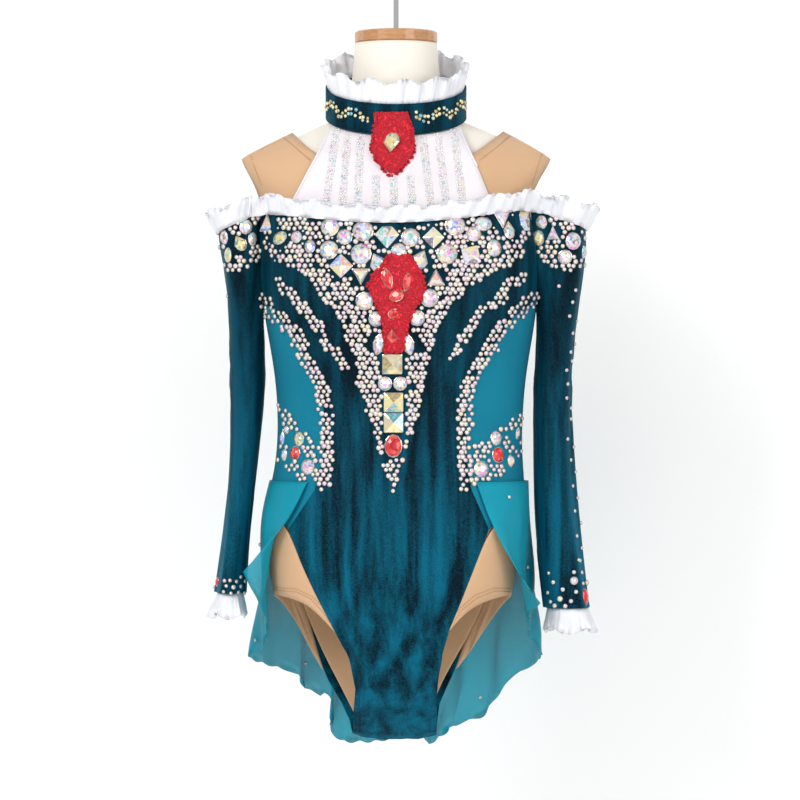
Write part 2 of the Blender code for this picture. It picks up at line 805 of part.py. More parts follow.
# Frills
NECK_WAVES = 44
NECK_STEPS = 4
NECK_FRILL = 15.0
NECK_FRILL_SHOULDER = 8.0
NECK_FLARE = 6.5
NECK_FLARE_SHOULDER = 4.0
SHOULDER_REACH = 190.0
FRILL_OVER_BODICE = 4.1
FRILL_ABOVE_EDGE = 0.8
FRILL_OVER_SLEEVE = 2.6
FRILL_ABOVE_RIM = 1.2
WAVE_DEPTH = 3.6
COLLAR_WAVES = 26
COLLAR_STEPS = 5
COLLAR_FRILL = 24.0
COLLAR_FRILL_TUCK = 2.0
COLLAR_FLARE = 4.5
CUFF_WAVES = 10
CUFF_STEPS = 6
CUFF_FRILL = 24.0
CUFF_FLARE = 9.0
CUFF_WAVE_DEPTH = 3.4
CUFF_TUCK = 3.6
CUFF_TUCK_UP = 1.5
# Share of the flare and waves that is left where a cuff faces the body
CUFF_CALM = 0.45
CUFF_CALM_FROM = -0.3


def frill(name, path, outward, height, flare, amplitude, waves, rise):
    """Closed frill: a base ring of points and a free edge that waves in and out."""
    path, outward = np.array(path), np.array(outward)
    count = len(path)
    base, edge = [], []
    for i in range(count):
        wave = math.sin(2 * math.pi * waves * i / count)
        swell = 1 + 0.25 * math.sin(2 * math.pi * 3 * i / count + 0.7)
        ups = height[i] * (1 + 0.12 * math.sin(2 * math.pi * waves * i / count * 0.5))
        tip = path[i] + outward[i] * (flare[i] + amplitude[i] * wave * swell)
        tip[2] += rise * ups
        base.append(path[i])
        edge.append(tip)
    return wall_about(name, [base, edge], ORGANZA, white_organza(), True)


def resampled(points, outward, count):
    """Even steps along a closed path, with the outward directions carried along."""
    points, outward = np.array(points), np.array(outward)
    loop = np.vstack((points, points[:1]))
    ways = np.vstack((outward, outward[:1]))
    run = np.concatenate(((0.0,), np.cumsum(np.linalg.norm(np.diff(loop, axis=0), axis=1))))
    at = np.linspace(0, run[-1], count, endpoint=False)
    path = np.stack([np.interp(at, run, loop[:, k]) for k in range(3)], axis=1)
    way = np.stack([np.interp(at, run, ways[:, k]) for k in range(3)], axis=1)
    for _ in range(3):
        way = (np.roll(way, 1, axis=0) + 2 * way + np.roll(way, -1, axis=0)) / 4
    way[:, 2] = 0.0
    way /= np.maximum(np.linalg.norm(way, axis=1, keepdims=True), 1e-9)
    return path, way


def neck_frill():
    """Frill all round the off-shoulder line: bodice front, sleeve, back, sleeve."""
    points, ways = [], []

    def along_bodice(face, order):
        for s in order:
            u, drop = place_across(top_edge(s), s, face)
            points.append(lift(u, drop - FRILL_ABOVE_EDGE, FRILL_OVER_BODICE))
            ways.append(body_normal(u, drop))

    def over_sleeve(table, side, order):
        for s in order:
            turn = SLEEVE_SEAM_TURN * (1 - 2 * s)
            rim = sleeve_rim(turn, side)
            place = sleeve_tube(table, side, turn, rim)
            centre = sleeve_tube(table, side, 0.0, rim) * 0.5
            centre += sleeve_tube(table, side, math.pi, rim) * 0.5
            way = place - centre
            way[2] = 0.0
            way /= np.linalg.norm(way)
            top = place + way * FRILL_OVER_SLEEVE
            top[2] += FRILL_ABOVE_RIM
            points.append(top)
            ways.append(way)

    steps = [i / 24 for i in range(1, 24)]
    arm = [i / 16 for i in range(1, 16)]
    along_bodice(-1, steps)
    over_sleeve(SLEEVE_RIGHT, 1, arm)
    along_bodice(1, steps[::-1])
    over_sleeve(SLEEVE_LEFT, -1, arm[::-1])
    path, way = resampled(points, ways, NECK_WAVES * NECK_STEPS)
    aside = [(p[0] / SHOULDER_REACH) ** 2 for p in path]
    high = [NECK_FRILL + NECK_FRILL_SHOULDER * a for a in aside]
    flare = [NECK_FLARE + NECK_FLARE_SHOULDER * a for a in aside]
    frill("neck_frill", path, way, high, flare, [WAVE_DEPTH] * len(path), NECK_WAVES, 1.0)


def collar_frill():
    count = COLLAR_WAVES * COLLAR_STEPS
    turns = [2 * math.pi * i / count for i in range(count)]
    foot = -COLLAR_HEIGHT / 2 + COLLAR_FRILL_TUCK
    path = [collar_point(t, foot, -COLLAR_FRILL_TUCK) for t in turns]
    ways = [collar_point(t, 0.0, 1.0) - collar_point(t, 0.0, 0.0) for t in turns]
    frill("collar_frill", path, ways, [COLLAR_FRILL] * count, [COLLAR_FLARE] * count,
          [WAVE_DEPTH] * count, COLLAR_WAVES, 1.0)


def cuff_frill(name, table, side):
    count = CUFF_WAVES * CUFF_STEPS
    cuff = table[-1][0]
    path, ways = [], []
    for i in range(count):
        turn = 2 * math.pi * i / count
        place = sleeve_tube(table, side, turn, cuff)
        centre_x, centre_y = side * (table[-1][1] + table[-1][2]) / 2, table[-1][4]
        way = np.array((place[0] - centre_x, place[1] - centre_y, 0.0))
        way /= np.linalg.norm(way)
        base = place - way * CUFF_TUCK
        base[2] = -cuff + CUFF_TUCK_UP
        path.append(base)
        ways.append(way)
    path, ways = resampled(path, ways, count)
    calm = [1.0 if side * w[0] > CUFF_CALM_FROM else CUFF_CALM for w in ways]
    frill(name, path, ways, [CUFF_FRILL] * count, [CUFF_FLARE * k for k in calm],
          [CUFF_WAVE_DEPTH * k for k in calm], CUFF_WAVES, -1.0)


# Skirt
SKIRT_COLUMNS = 66
SKIRT_ROWS = 5
SKIRT_TOP = 482.0
SKIRT_LEFT = -87.0
SKIRT_RIGHT = 79.0
SKIRT_OUT = 2.6
SKIRT_CLEAR = 5.0
FLUTES = 15
FLUTE_DEPTH = 4.5
# The flutes start this share of the way round from either front corner
FLUTES_FROM = 0.24
FLUTES_FADE = 0.1
SKIRT_BELL = 1.35


def hem_point(s):
    """Hem point a share s of the way round from the -X front corner."""
    keys = [(k / (len(HEM) - 1), *row) for k, row in enumerate(HEM)]
    x, drop, y = smooth_table(keys, s)
    further = 1 + y / VIEW_DISTANCE
    return np.array((x * further, y, -(VIEW_DROP + (drop - VIEW_DROP) * further)))


def pushed_out(place, clear):
    """Move a point out until it clears the body section at its height."""
    drop = -place[2]
    left, right, front, back, power = smooth_table(SECTIONS, drop)
    wide = (right if place[0] > 0 else left) + clear
    deep = (front if place[1] < 0 else back) + clear
    size = (abs(place[0]) / wide) ** power + (abs(place[1]) / deep) ** power
    if size < 1:
        place[:2] *= size ** (-1 / power)
    return place


def skirt_grid():
    start = turn_at(SKIRT_LEFT, SKIRT_TOP, -1)
    end = turn_at(SKIRT_RIGHT, SKIRT_TOP, -1) - 2 * math.pi
    rows = []
    for j in range(SKIRT_ROWS + 1):
        t = j / SKIRT_ROWS
        row = []
        for i in range(SKIRT_COLUMNS + 1):
            s = i / SKIRT_COLUMNS
            u = start * (1 - s) + end * s
            top = lift(u, SKIRT_TOP, SKIRT_OUT)
            low = hem_point(s)
            place = top * (1 - t) + low * t
            side_way = t ** SKIRT_BELL
            place[:2] = top[:2] * (1 - side_way) + low[:2] * side_way
            if 0 < t < 1:
                clear = SKIRT_OUT + (SKIRT_CLEAR - SKIRT_OUT) * min(t * 3, 1.0)
                place = pushed_out(place, clear)
            room = share((min(s, 1 - s) - FLUTES_FROM) / FLUTES_FADE)
            wave = FLUTE_DEPTH * t * room * math.sin(2 * math.pi * FLUTES * s)
            size = max(math.hypot(place[0], place[1]), 1.0)
            place[:2] += place[:2] / size * wave
            row.append(place)
        rows.append(row)
    return rows


def skirt():
    wall_about("skirt", skirt_grid(), CHIFFON, turquoise_chiffon(), False)


# Dress form
FORM_SIDES = 28
SHOULDER_SINK = 3.6
SHOULDER_TIP = 156.0
SHOULDER_INSET = 4.2
SHOULDER_BELOW = 5.0
SHOULDER_FADE = 14.0
NECK_FOOT = 112.0
FORM_BOTTOM_INSET = 9.0
FORM_DROPS = (
    39.5, 60, 84, 100, 108, 114, 121, 129, 142, 152, 160, 175, 200, 240, 290, 340, 400,
    460, 520, 570, 583,
)


def stacked(name, rings, mat):
    """Closed body through rings of points, with flat ends."""
    count = len(rings[0])
    verts = [tuple(p) for ring in rings for p in ring]
    faces = []
    for j in range(len(rings) - 1):
        for i in range(count):
            k = (i + 1) % count
            a, b = j * count, (j + 1) * count
            faces.append((a + i, a + k, b + k, b + i))
    faces.append(tuple(range(count))[::-1])
    last = (len(rings) - 1) * count
    faces.append(tuple(last + i for i in range(count)))
    return mesh_object(name, verts, faces, mat)


def form_ring(drop, inset):
    """Ring of the dress form, a clearance inside the cloth."""
    sink = SHOULDER_SINK if inset and drop < SHOULDER_TIP else 0.0
    left, right, front, back, power = smooth_table(SECTIONS, drop - sink)
    ring = []
    for i in range(FORM_SIDES):
        u = 2 * math.pi * i / FORM_SIDES
        s, c = math.sin(u), math.cos(u)
        wide = (right if s > 0 else left) - inset
        deep = (front if c > 0 else back) - inset
        x = math.copysign(wide * abs(s) ** (2 / power), s)
        y = -math.copysign(deep * abs(c) ** (2 / power), c)
        ring.append((x, y, -drop))
    return ring


def form_torso():
    rings = []
    for drop in FORM_DROPS:
        near_tip = math.exp(-((drop - SHOULDER_TIP - SHOULDER_BELOW) / SHOULDER_FADE) ** 2)
        inset = FORM_CLEARANCE + SHOULDER_INSET * near_tip if drop > NECK_FOOT else 0.0
        if drop == FORM_BOTTOM:
            inset = FORM_BOTTOM_INSET
        rings.append(form_ring(drop, inset))
    stacked("form_torso", rings, linen())


# Wooden cap's profile: drop, radius
CAP_PROFILE = ((27.0, 40.0), (28.5, 42.0), (37.7, 42.0), (39.2, 40.5))


def form_cap():
    rings = []
    for drop, radius in CAP_PROFILE:
        ring = []
        for i in range(FORM_SIDES):
            turn = 2 * math.pi * i / FORM_SIDES
            ring.append((radius * math.sin(turn), -radius * math.cos(turn), -drop))
        rings.append(ring)
    stacked("form_cap", rings, wood())


# Rod's path up to the hook: x, height over drop 0
ROD_PATH = ((0.0, -26.7), (0.0, -8.0), (0.0, 14.0), (1.5, 17.5), (5.0, 19.5))


def hanging_hook():
    """Chrome rod that rises from the cap and bends into an open hook."""
    inner = HOOK_RADIUS - ROD_RADIUS
    path = list(ROD_PATH)
    centre = HOOK_RISE - inner
    for degrees in range(-60, 201, 20):
        turn = math.radians(degrees)
        x = HOOK_RADIUS * math.cos(turn)
        path.append((x, centre + HOOK_RADIUS * math.sin(turn)))
    curve = bpy.data.curves.new("hanging_hook", "CURVE")
    curve.dimensions = "3D"
    curve.bevel_depth = ROD_RADIUS * MM
    curve.bevel_resolution = 3
    curve.use_fill_caps = True
    line = curve.splines.new("POLY")
    line.points.add(len(path) - 1)
    for place, (x, up) in zip(line.points, path):
        place.co = (x * MM, 0.0, (up - HOOK_RISE) * MM, 1.0)
    curve.materials.append(chrome())
    made = bpy.data.objects.new("hanging_hook", curve)
    bpy.context.scene.collection.objects.link(made)


# Set stones: name, x, drop, width, height, sides, gold or red, height off the cloth
CENTRE_STONES = (
    ("gold_square_1", -3.7, 364.0, 19.5, 19.5, 4, "gold", 5.0),
    ("gold_round_left", -11.0, 383.5, 13.6, 13.6, 12, "gold", 4.5),
    ("gold_round_right", 4.2, 383.5, 13.6, 13.6, 12, "gold", 4.5),
    ("gold_square_2", -2.5, 402.3, 19.0, 19.0, 4, "gold", 5.0),
    ("gold_square_3", -2.5, 422.8, 19.0, 19.0, 4, "gold", 5.0),
    ("red_oval", -2.7, 446.0, 17.0, 22.0, 16, "red", 5.5),
)


STONE_SEAT = 0.95


def facet_stone(name, centre, out, up, width, height, sides, mat, thick, point_down=False):
    """Flat-backed stone: base, girdle and a smaller flat table."""
    out = out / np.linalg.norm(out)
    right = np.cross(up, out)
    right /= np.linalg.norm(right)
    up = np.cross(out, right)
    start = math.pi / sides if sides == 4 else 0.0
    reach = 1 / math.cos(math.pi / sides) if sides == 4 else 1.0
    rings = []
    for level, size in ((0.0, 0.96), (0.3, 1.0), (1.0, 0.55)):
        ring = []
        for i in range(sides):
            turn = start + 2 * math.pi * i / sides
            x, y = math.sin(turn) * reach, math.cos(turn) * reach
            if point_down and y < 0:
                x *= 1 + y * 0.75
            ring.append(tuple(centre + right * x * width / 2 * size
                              + up * y * height / 2 * size + out * thick * level))
        rings.append(ring)
    return stacked(name, rings, mat)


def centre_stones():
    for name, x, drop, width, height, sides, colour, thick in CENTRE_STONES:
        u = turn_at(x, drop, -1)
        base = lift(u, drop, VELVET + STONE_SEAT)
        up = body(u, drop - 2) - body(u, drop + 2)
        mat = gold_stone() if colour == "gold" else red_stone()
        facet_stone(name, base, body_normal(u, drop), up, width, height, sides, mat, thick)


def collar_stone():
    x, drop, ahead = -4.5, 142.0, 3.0
    centre = np.array((x, collar_lace_depth(drop) - LACE - ahead, -drop))
    out = np.array((0.0, -1.0, COLLAR_LACE_SLOPE))
    up = np.array((0.0, 0.0, 1.0))
    facet_stone("collar_stone", centre, out, up, 16.0, 22.0, 16, gold_stone(), 5.0, True)


form_torso()
form_cap()
hanging_hook()
front_panel()
back_panel()
side_panel("side_panel_left", 0)
side_panel("side_panel_right", 1)
hip_panel("hip_panel_left", 0)
hip_panel("hip_panel_right", 1)
seat_lining()
nude_panel("nude_front", NUDE_FRONT_TOP, -1)
nude_panel("nude_back", NUDE_BACK_TOP, 1)
yoke()
collar_band()
collar_applique()
collar_stone()
chest_applique()
centre_stones()
sleeve("sleeve_left", SLEEVE_LEFT, -1)
sleeve("sleeve_right", SLEEVE_RIGHT, 1)
neck_frill()
collar_frill()
cuff_frill("cuff_frill_left", SLEEVE_LEFT, -1)
cuff_frill("cuff_frill_right", SLEEVE_RIGHT, 1)
skirt()
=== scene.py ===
# %% [markdown]
# # A skating leotard on its hanging form
#
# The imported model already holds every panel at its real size. This file dresses it:
# soft shells over the plain panels, frills, a sheer skirt, and the set stones. Cells
# go from the frame, through the cloth, to the sparkle, and end with light and camera.

# %% Load the frame
import math
import random

import bmesh
import bpy
import numpy as np
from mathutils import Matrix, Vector
from mathutils.bvhtree import BVHTree


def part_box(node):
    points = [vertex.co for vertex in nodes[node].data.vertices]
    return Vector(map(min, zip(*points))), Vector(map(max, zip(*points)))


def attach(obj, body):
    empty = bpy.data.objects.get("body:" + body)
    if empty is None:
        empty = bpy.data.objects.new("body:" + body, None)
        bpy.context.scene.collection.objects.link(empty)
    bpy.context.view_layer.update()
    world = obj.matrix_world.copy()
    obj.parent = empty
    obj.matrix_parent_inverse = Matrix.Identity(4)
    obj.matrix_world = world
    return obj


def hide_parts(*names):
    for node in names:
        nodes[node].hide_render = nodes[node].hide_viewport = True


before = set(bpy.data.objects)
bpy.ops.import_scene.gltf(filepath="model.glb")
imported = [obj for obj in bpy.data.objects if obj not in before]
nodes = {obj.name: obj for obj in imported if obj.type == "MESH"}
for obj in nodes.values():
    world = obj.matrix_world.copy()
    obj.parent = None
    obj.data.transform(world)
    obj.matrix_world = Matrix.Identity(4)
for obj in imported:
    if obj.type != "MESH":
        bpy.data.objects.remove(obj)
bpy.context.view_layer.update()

MM = 0.001
CENTRE_PX = 396.0
HOOK_RISE_PX = 55.0
print("frame nodes:", len(nodes))


# %% [markdown]
# ## Reading places off the front
#
# The reference is 800 pixels wide, and at EYE_REACH from the camera one pixel covers
# one millimetre. A place can then be given as a pixel: a ray goes from the camera
# through it until it meets the cloth, which gives the depth and the slope there.

# %% Front places
EYE = Vector((0.004, -4.05, -0.455))
EYE_REACH = 4.0
PICTURE_MIDDLE = 400.0


def front(px, py):
    """Metres x and z of a pixel, at the reach where a pixel is a millimetre."""
    return (px - CENTRE_PX) * MM, -(py + HOOK_RISE_PX) * MM


def sight(px, py):
    """Direction from the camera through a pixel."""
    x, z = (px - PICTURE_MIDDLE) * MM, (PICTURE_MIDDLE - py) * MM
    return Vector((x, EYE_REACH, z)).normalized()


def tree_of(objects):
    """One search tree over the finished surfaces of several objects."""
    deps = bpy.context.evaluated_depsgraph_get()
    verts, faces = [], []
    for ob in objects:
        mesh = ob.evaluated_get(deps).to_mesh()
        start = len(verts)
        verts += [ob.matrix_world @ v.co for v in mesh.vertices]
        faces += [[start + i for i in p.vertices] for p in mesh.polygons]
        ob.evaluated_get(deps).to_mesh_clear()
    return BVHTree.FromPolygons(verts, faces)


def on_cloth(tree, px, py):
    """First point and normal met behind a pixel, or None."""
    hit, normal, _, _ = tree.ray_cast(EYE, sight(px, py))
    if hit is None:
        return None
    if normal.y > 0:
        normal = -normal
    return hit, normal


# %% [markdown]
# ## Shader building blocks
#
# Materials share three effects: a soft cloud of light and dark, a woven grain, and
# velvet's nap, which lies in brushed streaks. Each is a node group made once.

# %% Node helpers
def add(tree, kind, **settings):
    """New node; settings that name a socket set its value, others set an attribute."""
    made = tree.nodes.new(kind)
    for key, value in settings.items():
        name = key.replace("_", " ").title()
        if hasattr(made, key) and key not in ("scale", "color"):
            setattr(made, key, value)
        else:
            made.inputs[name].default_value = value
    return made


def link(source, output, target, socket):
    """Feed one node's output to another node's input."""
    target.id_data.links.new(source.outputs[output], target.inputs[socket])


def tune(node, values):
    """Set the values of several input sockets."""
    for socket, value in values.items():
        node.inputs[socket].default_value = value


def wired(tree, kind, inputs, **settings):
    """New node; each input takes a value, or another node and the name of its output."""
    made = add(tree, kind, **settings)
    for socket, given in inputs.items():
        if isinstance(given, tuple) and hasattr(given[0], "outputs"):
            link(*given, made, socket)
        else:
            made.inputs[socket].default_value = given
    return made


def maths(tree, operation, *inputs):
    return wired(tree, "ShaderNodeMath", dict(enumerate(inputs)), operation=operation)


def here(tree):
    """Object coordinates, so that a pattern stays with its piece."""
    return add(tree, "ShaderNodeTexCoord"), "Object"


def placed(name, data):
    """New object in the scene, at the origin."""
    made = bpy.data.objects.new(name, data)
    bpy.context.scene.collection.objects.link(made)
    return made


def new_group(name, inputs, outputs):
    """Empty node group with named float or colour sockets."""
    tree = bpy.data.node_groups.new(name, "ShaderNodeTree")
    for label, kind, value in inputs:
        socket = tree.interface.new_socket(label, in_out="INPUT", socket_type=kind)
        socket.default_value = value
    for label, kind in outputs:
        tree.interface.new_socket(label, in_out="OUTPUT", socket_type=kind)
    return tree, tree.nodes.new("NodeGroupInput"), tree.nodes.new("NodeGroupOutput")


FLOAT = "NodeSocketFloat"
print("helpers ready")


# %% Shared effects
def brushed_nap():
    """Streaks that run down the cloth, with finer pile between them."""
    tree, given, out = new_group(
        "brushed_nap",
        [("Size", FLOAT, 60.0), ("Stretch", FLOAT, 0.25), ("Contrast", FLOAT, 1.0)],
        [("Streak", FLOAT), ("Pile", FLOAT)],
    )
    squeeze = wired(tree, "ShaderNodeCombineXYZ", {0: 1.0, 1: 1.0, 2: (given, "Stretch")})
    scaled = wired(tree, "ShaderNodeVectorMath", {0: here(tree), 1: (squeeze, 0)},
                   operation="MULTIPLY")
    broad = wired(tree, "ShaderNodeTexNoise", {"Vector": (scaled, 0), "Scale": (given, "Size")},
                  detail=4.0, roughness=0.55, distortion=0.25)
    spread = wired(tree, "ShaderNodeMapRange",
                   {"Value": (broad, "Fac"), "From Min": 0.34, "From Max": 0.68})
    strong = maths(tree, "POWER", (spread, 0), (given, "Contrast"))
    pile = wired(tree, "ShaderNodeTexNoise", {"Vector": here(tree)}, scale=620.0, detail=2.0)
    link(strong, 0, out, "Streak")
    link(pile, "Fac", out, "Pile")
    return tree


def woven_grain():
    """Fine crossed threads as a height, with a slow cloud beside it."""
    tree, given, out = new_group(
        "woven_grain",
        [("Thread", FLOAT, 1300.0), ("Cloud", FLOAT, 14.0)],
        [("Height", FLOAT), ("Shade", FLOAT)],
    )
    fine = wired(tree, "ShaderNodeTexVoronoi",
                 {"Vector": here(tree), "Scale": (given, "Thread")})
    cloud = wired(tree, "ShaderNodeTexNoise",
                  {"Vector": here(tree), "Scale": (given, "Cloud")}, detail=4.0)
    link(fine, "Distance", out, "Height")
    link(cloud, "Fac", out, "Shade")
    return tree


NAP = brushed_nap()
GRAIN = woven_grain()
print("groups:", NAP.name, GRAIN.name)


# %% [markdown]
# ## Cloth materials
#
# Velvet is dark where one looks down into the pile and bright where it lies over, so
# it has a strong sheen and streaky colour; that sheen is painted into its colour, lighter
# where the cloth turns away from the view, and its upper part is painted darker as
# shade. Stretch jersey is matt with a fine grain.
# Organza and chiffon let light through, which the alpha value gives.

# %% Material starter
def blank(name):
    mat = bpy.data.materials.new(name)
    mat.use_nodes = True
    return mat, mat.node_tree, mat.node_tree.nodes["Principled BSDF"]


def use_group(tree, group, **values):
    made = tree.nodes.new("ShaderNodeGroup")
    made.node_tree = group
    for key, value in values.items():
        made.inputs[key.capitalize()].default_value = value
    return made


def coloured(shader, source, output, low, high):
    """Base colour between two colours, by another node's output."""
    mix = wired(shader.id_data, "ShaderNodeMix",
                {0: (source, output), 6: (*low, 1), 7: (*high, 1)}, data_type="RGBA")
    link(mix, 2, shader, "Base Color")


def bumped(shader, source, output, strength, distance):
    bump = wired(shader.id_data, "ShaderNodeBump", {"Height": (source, output)},
                 strength=strength, distance=distance)
    link(bump, "Normal", shader, "Normal")


# %% Velvet
# Painted shade: heights and factors that darken the velvet's colour above the waist.
SHADED_FROM_TO = (-0.62, -0.40, 1.0, 0.42)


def velvet():
    """Pile cloth: dark seen straight on, with painted sheen where it turns away, lighter where it
    lies brushed, and painted shade above the waist.
    """
    mat, tree, shader = blank("teal_velvet_pile")
    nap = use_group(tree, NAP, size=64.0, stretch=0.09, contrast=1.3)
    # Painted sheen: the colour is lighter where the cloth turns away from the view, added to the
    # nap's streaks.
    turning = add(tree, "ShaderNodeLayerWeight", blend=0.35)
    rim = maths(tree, "MULTIPLY_ADD", (turning, "Facing"), 0.8, (nap, "Streak"))
    grain = maths(tree, "MULTIPLY_ADD", (nap, "Pile"), 0.95, -0.5)
    share = maths(tree, "ADD", (rim, 0), (grain, 0))
    share.use_clamp = True
    # Painted shade: the colour is darker above the waist, by height.
    height = wired(tree, "ShaderNodeSeparateXYZ", {0: here(tree)})
    shade = wired(tree, "ShaderNodeMapRange", {"Value": (height, "Z")})
    tune(shade, dict(zip(("From Min", "From Max", "To Min", "To Max"), SHADED_FROM_TO)))
    dimmed = maths(tree, "MULTIPLY", (share, 0), (shade, 0))
    coloured(shader, dimmed, 0, (0.0006, 0.008, 0.014), (0.002, 0.11, 0.18))
    tune(shader, {"Roughness": 0.6, "Specular IOR Level": 0.05, "Sheen Weight": 0.1,
                  "Sheen Roughness": 0.3, "Sheen Tint": (0.02, 0.5, 0.65, 1)})
    bumped(shader, nap, "Pile", 0.35, 0.0008)
    return mat


# %% Stretch jersey and lining
def jersey(name, low, high, sheen=0.25):
    mat, tree, shader = blank(name)
    grain = use_group(tree, GRAIN, thread=1500.0, cloud=16.0)
    coloured(shader, grain, "Shade", low, high)
    tune(shader, {"Roughness": 0.62, "Specular IOR Level": 0.15, "Sheen Weight": sheen,
                  "Sheen Roughness": 0.5})
    bumped(shader, grain, "Height", 0.25, 0.0003)
    return mat


# %% Sheer cloths
VARIES = 0.06


def sheer(name, low, high, alpha, sheen, size):
    """Sheer cloth: threads hold the colour and the gaps between let light through."""
    mat, tree, shader = blank(name)
    grain = use_group(tree, GRAIN, thread=size, cloud=22.0)
    coloured(shader, grain, "Shade", low, high)
    veil = wired(tree, "ShaderNodeMapRange",
                 {"Value": (grain, "Shade"), "To Min": alpha - VARIES,
                  "To Max": min(alpha + VARIES, 1.0)})
    link(veil, 0, shader, "Alpha")
    tune(shader, {"Roughness": 0.5, "Specular IOR Level": 0.2, "Sheen Weight": sheen})
    bumped(shader, grain, "Height", 0.3, 0.0003)
    return mat


VELVET = velvet()
TURQUOISE = jersey("turquoise_jersey", (0.0, 0.14, 0.22), (0.0, 0.20, 0.29), 0.03)
NUDE = jersey("nude_jersey", (0.54, 0.33, 0.18), (0.64, 0.41, 0.24), 0.1)
MESH = sheer("white_mesh", (0.74, 0.68, 0.70), (0.88, 0.84, 0.86), 0.9, 0.3, 1700.0)
ORGANZA = sheer("white_organza", (0.77, 0.78, 0.82), (0.94, 0.94, 0.96), 0.84, 0.2, 1100.0)
CHIFFON = sheer("turquoise_chiffon", (0.0, 0.26, 0.36), (0.0, 0.36, 0.47), 0.78, 0.03, 1500.0)
print("cloth materials ready")


# %% [markdown]
# ## From plain panel to cloth
#
# A packed panel is a closed wall with a plain inside. The shell is made from that
# inside alone: its triangles are joined to quads and smoothed, soft troughs are pushed
# in where the cloth pulls, and Solidify then gives the cloth its thickness again.

# %% Take one side of a wall
SHARP = math.radians(55)
CORNER = math.radians(16)


def middle(node):
    """Middle of a node's box, seen from above."""
    low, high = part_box(node)
    return (low[0] + high[0]) / 2, (low[1] + high[1]) / 2


def merged_copy(node):
    """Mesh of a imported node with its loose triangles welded."""
    work = bmesh.new()
    work.from_mesh(nodes[node].data)
    bmesh.ops.remove_doubles(work, verts=work.verts, dist=0.00002)
    bmesh.ops.recalc_face_normals(work, faces=work.faces)
    return work


def smooth_groups(work):
    """Sets of faces that sharp edges part from each other, largest first."""
    left = set(work.faces)
    groups = []
    while left:
        start = left.pop()
        group, queue = {start}, [start]
        while queue:
            face = queue.pop()
            for edge in face.edges:
                if len(edge.link_faces) == 2 and edge.calc_face_angle(0) < SHARP:
                    for other in edge.link_faces:
                        if other in left:
                            left.remove(other)
                            group.add(other)
                            queue.append(other)
        groups.append(group)
    groups.sort(key=lambda g: -sum(f.calc_area() for f in g))
    return groups


def hold_corners(work):
    """Crease the rim's corners, so that smoothing opens no gap where seams meet."""
    held = work.verts.layers.float.new("crease_vert")
    for vert in work.verts:
        rim = [e for e in vert.link_edges if e.is_boundary]
        if len(rim) == 2:
            ways = [(e.other_vert(vert).co - vert.co).normalized() for e in rim]
            if ways[0].dot(ways[1]) > -math.cos(CORNER):
                vert[held] = 1.0
    return work


def one_side(node, outside, centre=(0.0, 0.0)):
    """Bmesh of a wall's outer or inner face only, with outward normals."""
    work = merged_copy(node)

    def leaning(group):
        total = 0.0
        for face in group:
            spot = face.calc_center_median()
            way = Vector((spot.x - centre[0], spot.y - centre[1], 0.0))
            total += face.normal.dot(way) * face.calc_area()
        return total

    pair = smooth_groups(work)[:2]
    pair.sort(key=leaning)
    keep = pair[1] if outside else pair[0]
    bmesh.ops.delete(work, geom=[f for f in work.faces if f not in keep], context="FACES")
    if not outside:
        bmesh.ops.reverse_faces(work, faces=work.faces)
    bmesh.ops.join_triangles(work, faces=work.faces, angle_face_threshold=0.7,
                             angle_shape_threshold=1.2)
    return hold_corners(work)


# %% Finish a shell
def as_object(name, work, mat):
    mesh = bpy.data.meshes.new(name)
    work.to_mesh(mesh)
    work.free()
    mesh.materials.append(mat)
    mesh.shade_smooth()
    return placed(name, mesh)


def applied(ob):
    """Turn an object with modifiers into a plain mesh."""
    deps = bpy.context.evaluated_depsgraph_get()
    mesh = bpy.data.meshes.new_from_object(ob.evaluated_get(deps))
    ob.modifiers.clear()
    ob.data = mesh
    return ob


def dressed(ob, node=None):
    """Let an object ride on the root and, with a node, stand in its place."""
    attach(ob, "root")
    if node:
        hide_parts(node)
    print(ob.name, len(ob.data.polygons), "faces")
    return ob


def subdivided(ob, levels):
    step = ob.modifiers.new("smooth", "SUBSURF")
    step.levels = step.render_levels = levels
    step.boundary_smooth = "PRESERVE_CORNERS"
    return applied(ob)


def thickened(ob, thick, offset=1.0):
    step = ob.modifiers.new("cloth", "SOLIDIFY")
    step.thickness = thick
    step.offset = offset
    step.use_even_offset = False
    return applied(ob)


def pushed(ob, shape, axis=None):
    """Move each point along its normal by shape(x, y, z), in metres.

    With an axis, both skins of a wall move the same way, out from that axis.
    """
    count = len(ob.data.vertices)
    spots = np.empty(count * 3)
    ob.data.vertices.foreach_get("co", spots)
    spots = spots.reshape(-1, 3)
    normals = np.empty(count * 3)
    ob.data.vertices.foreach_get("normal", normals)
    normals = normals.reshape(-1, 3)
    if axis:
        outward = ((spots[:, :2] - np.array(axis)) * normals[:, :2]).sum(axis=1)
        normals = normals * np.where(outward < 0, -1.0, 1.0)[:, None]
    spots += normals * shape(spots)[:, None]
    ob.data.vertices.foreach_set("co", spots.ravel())
    ob.data.update()
    return ob


# %% [markdown]
# ## Creases
#
# Stretch cloth on a form pulls into a few long, shallow folds. Each is written down
# as a line from one place to another, with a width and a depth, and fades at both
# ends. The same list serves the front; a second one does for the plain back.

# %% Crease shapes
def crease_field(creases, face):
    """Depth of all creases at many points; face -1 is the front, 1 the back."""
    rows = []
    for x0, y0, x1, y1, wide, deep in creases:
        a, b = front(x0, y0), front(x1, y1)
        rows.append((*a, *b, wide * MM, deep * MM))

    def shape(spots):
        total = np.zeros(len(spots))
        for ax, az, bx, bz, wide, deep in rows:
            run = np.array((bx - ax, bz - az))
            size = max(np.hypot(*run), 1e-6)
            way = run / size
            off = spots[:, [0, 2]] - np.array((ax, az))
            along = off @ way / size
            across = off @ np.array((-way[1], way[0]))
            fade = np.clip(along * (1 - along) * 4, 0, 1) ** 0.7
            fade[(along < 0) | (along > 1)] = 0
            side = (spots[:, 1] * face > -0.02).astype(float)
            total += deep * fade * side * np.exp(-(across / wide) ** 2)
        return total

    return shape


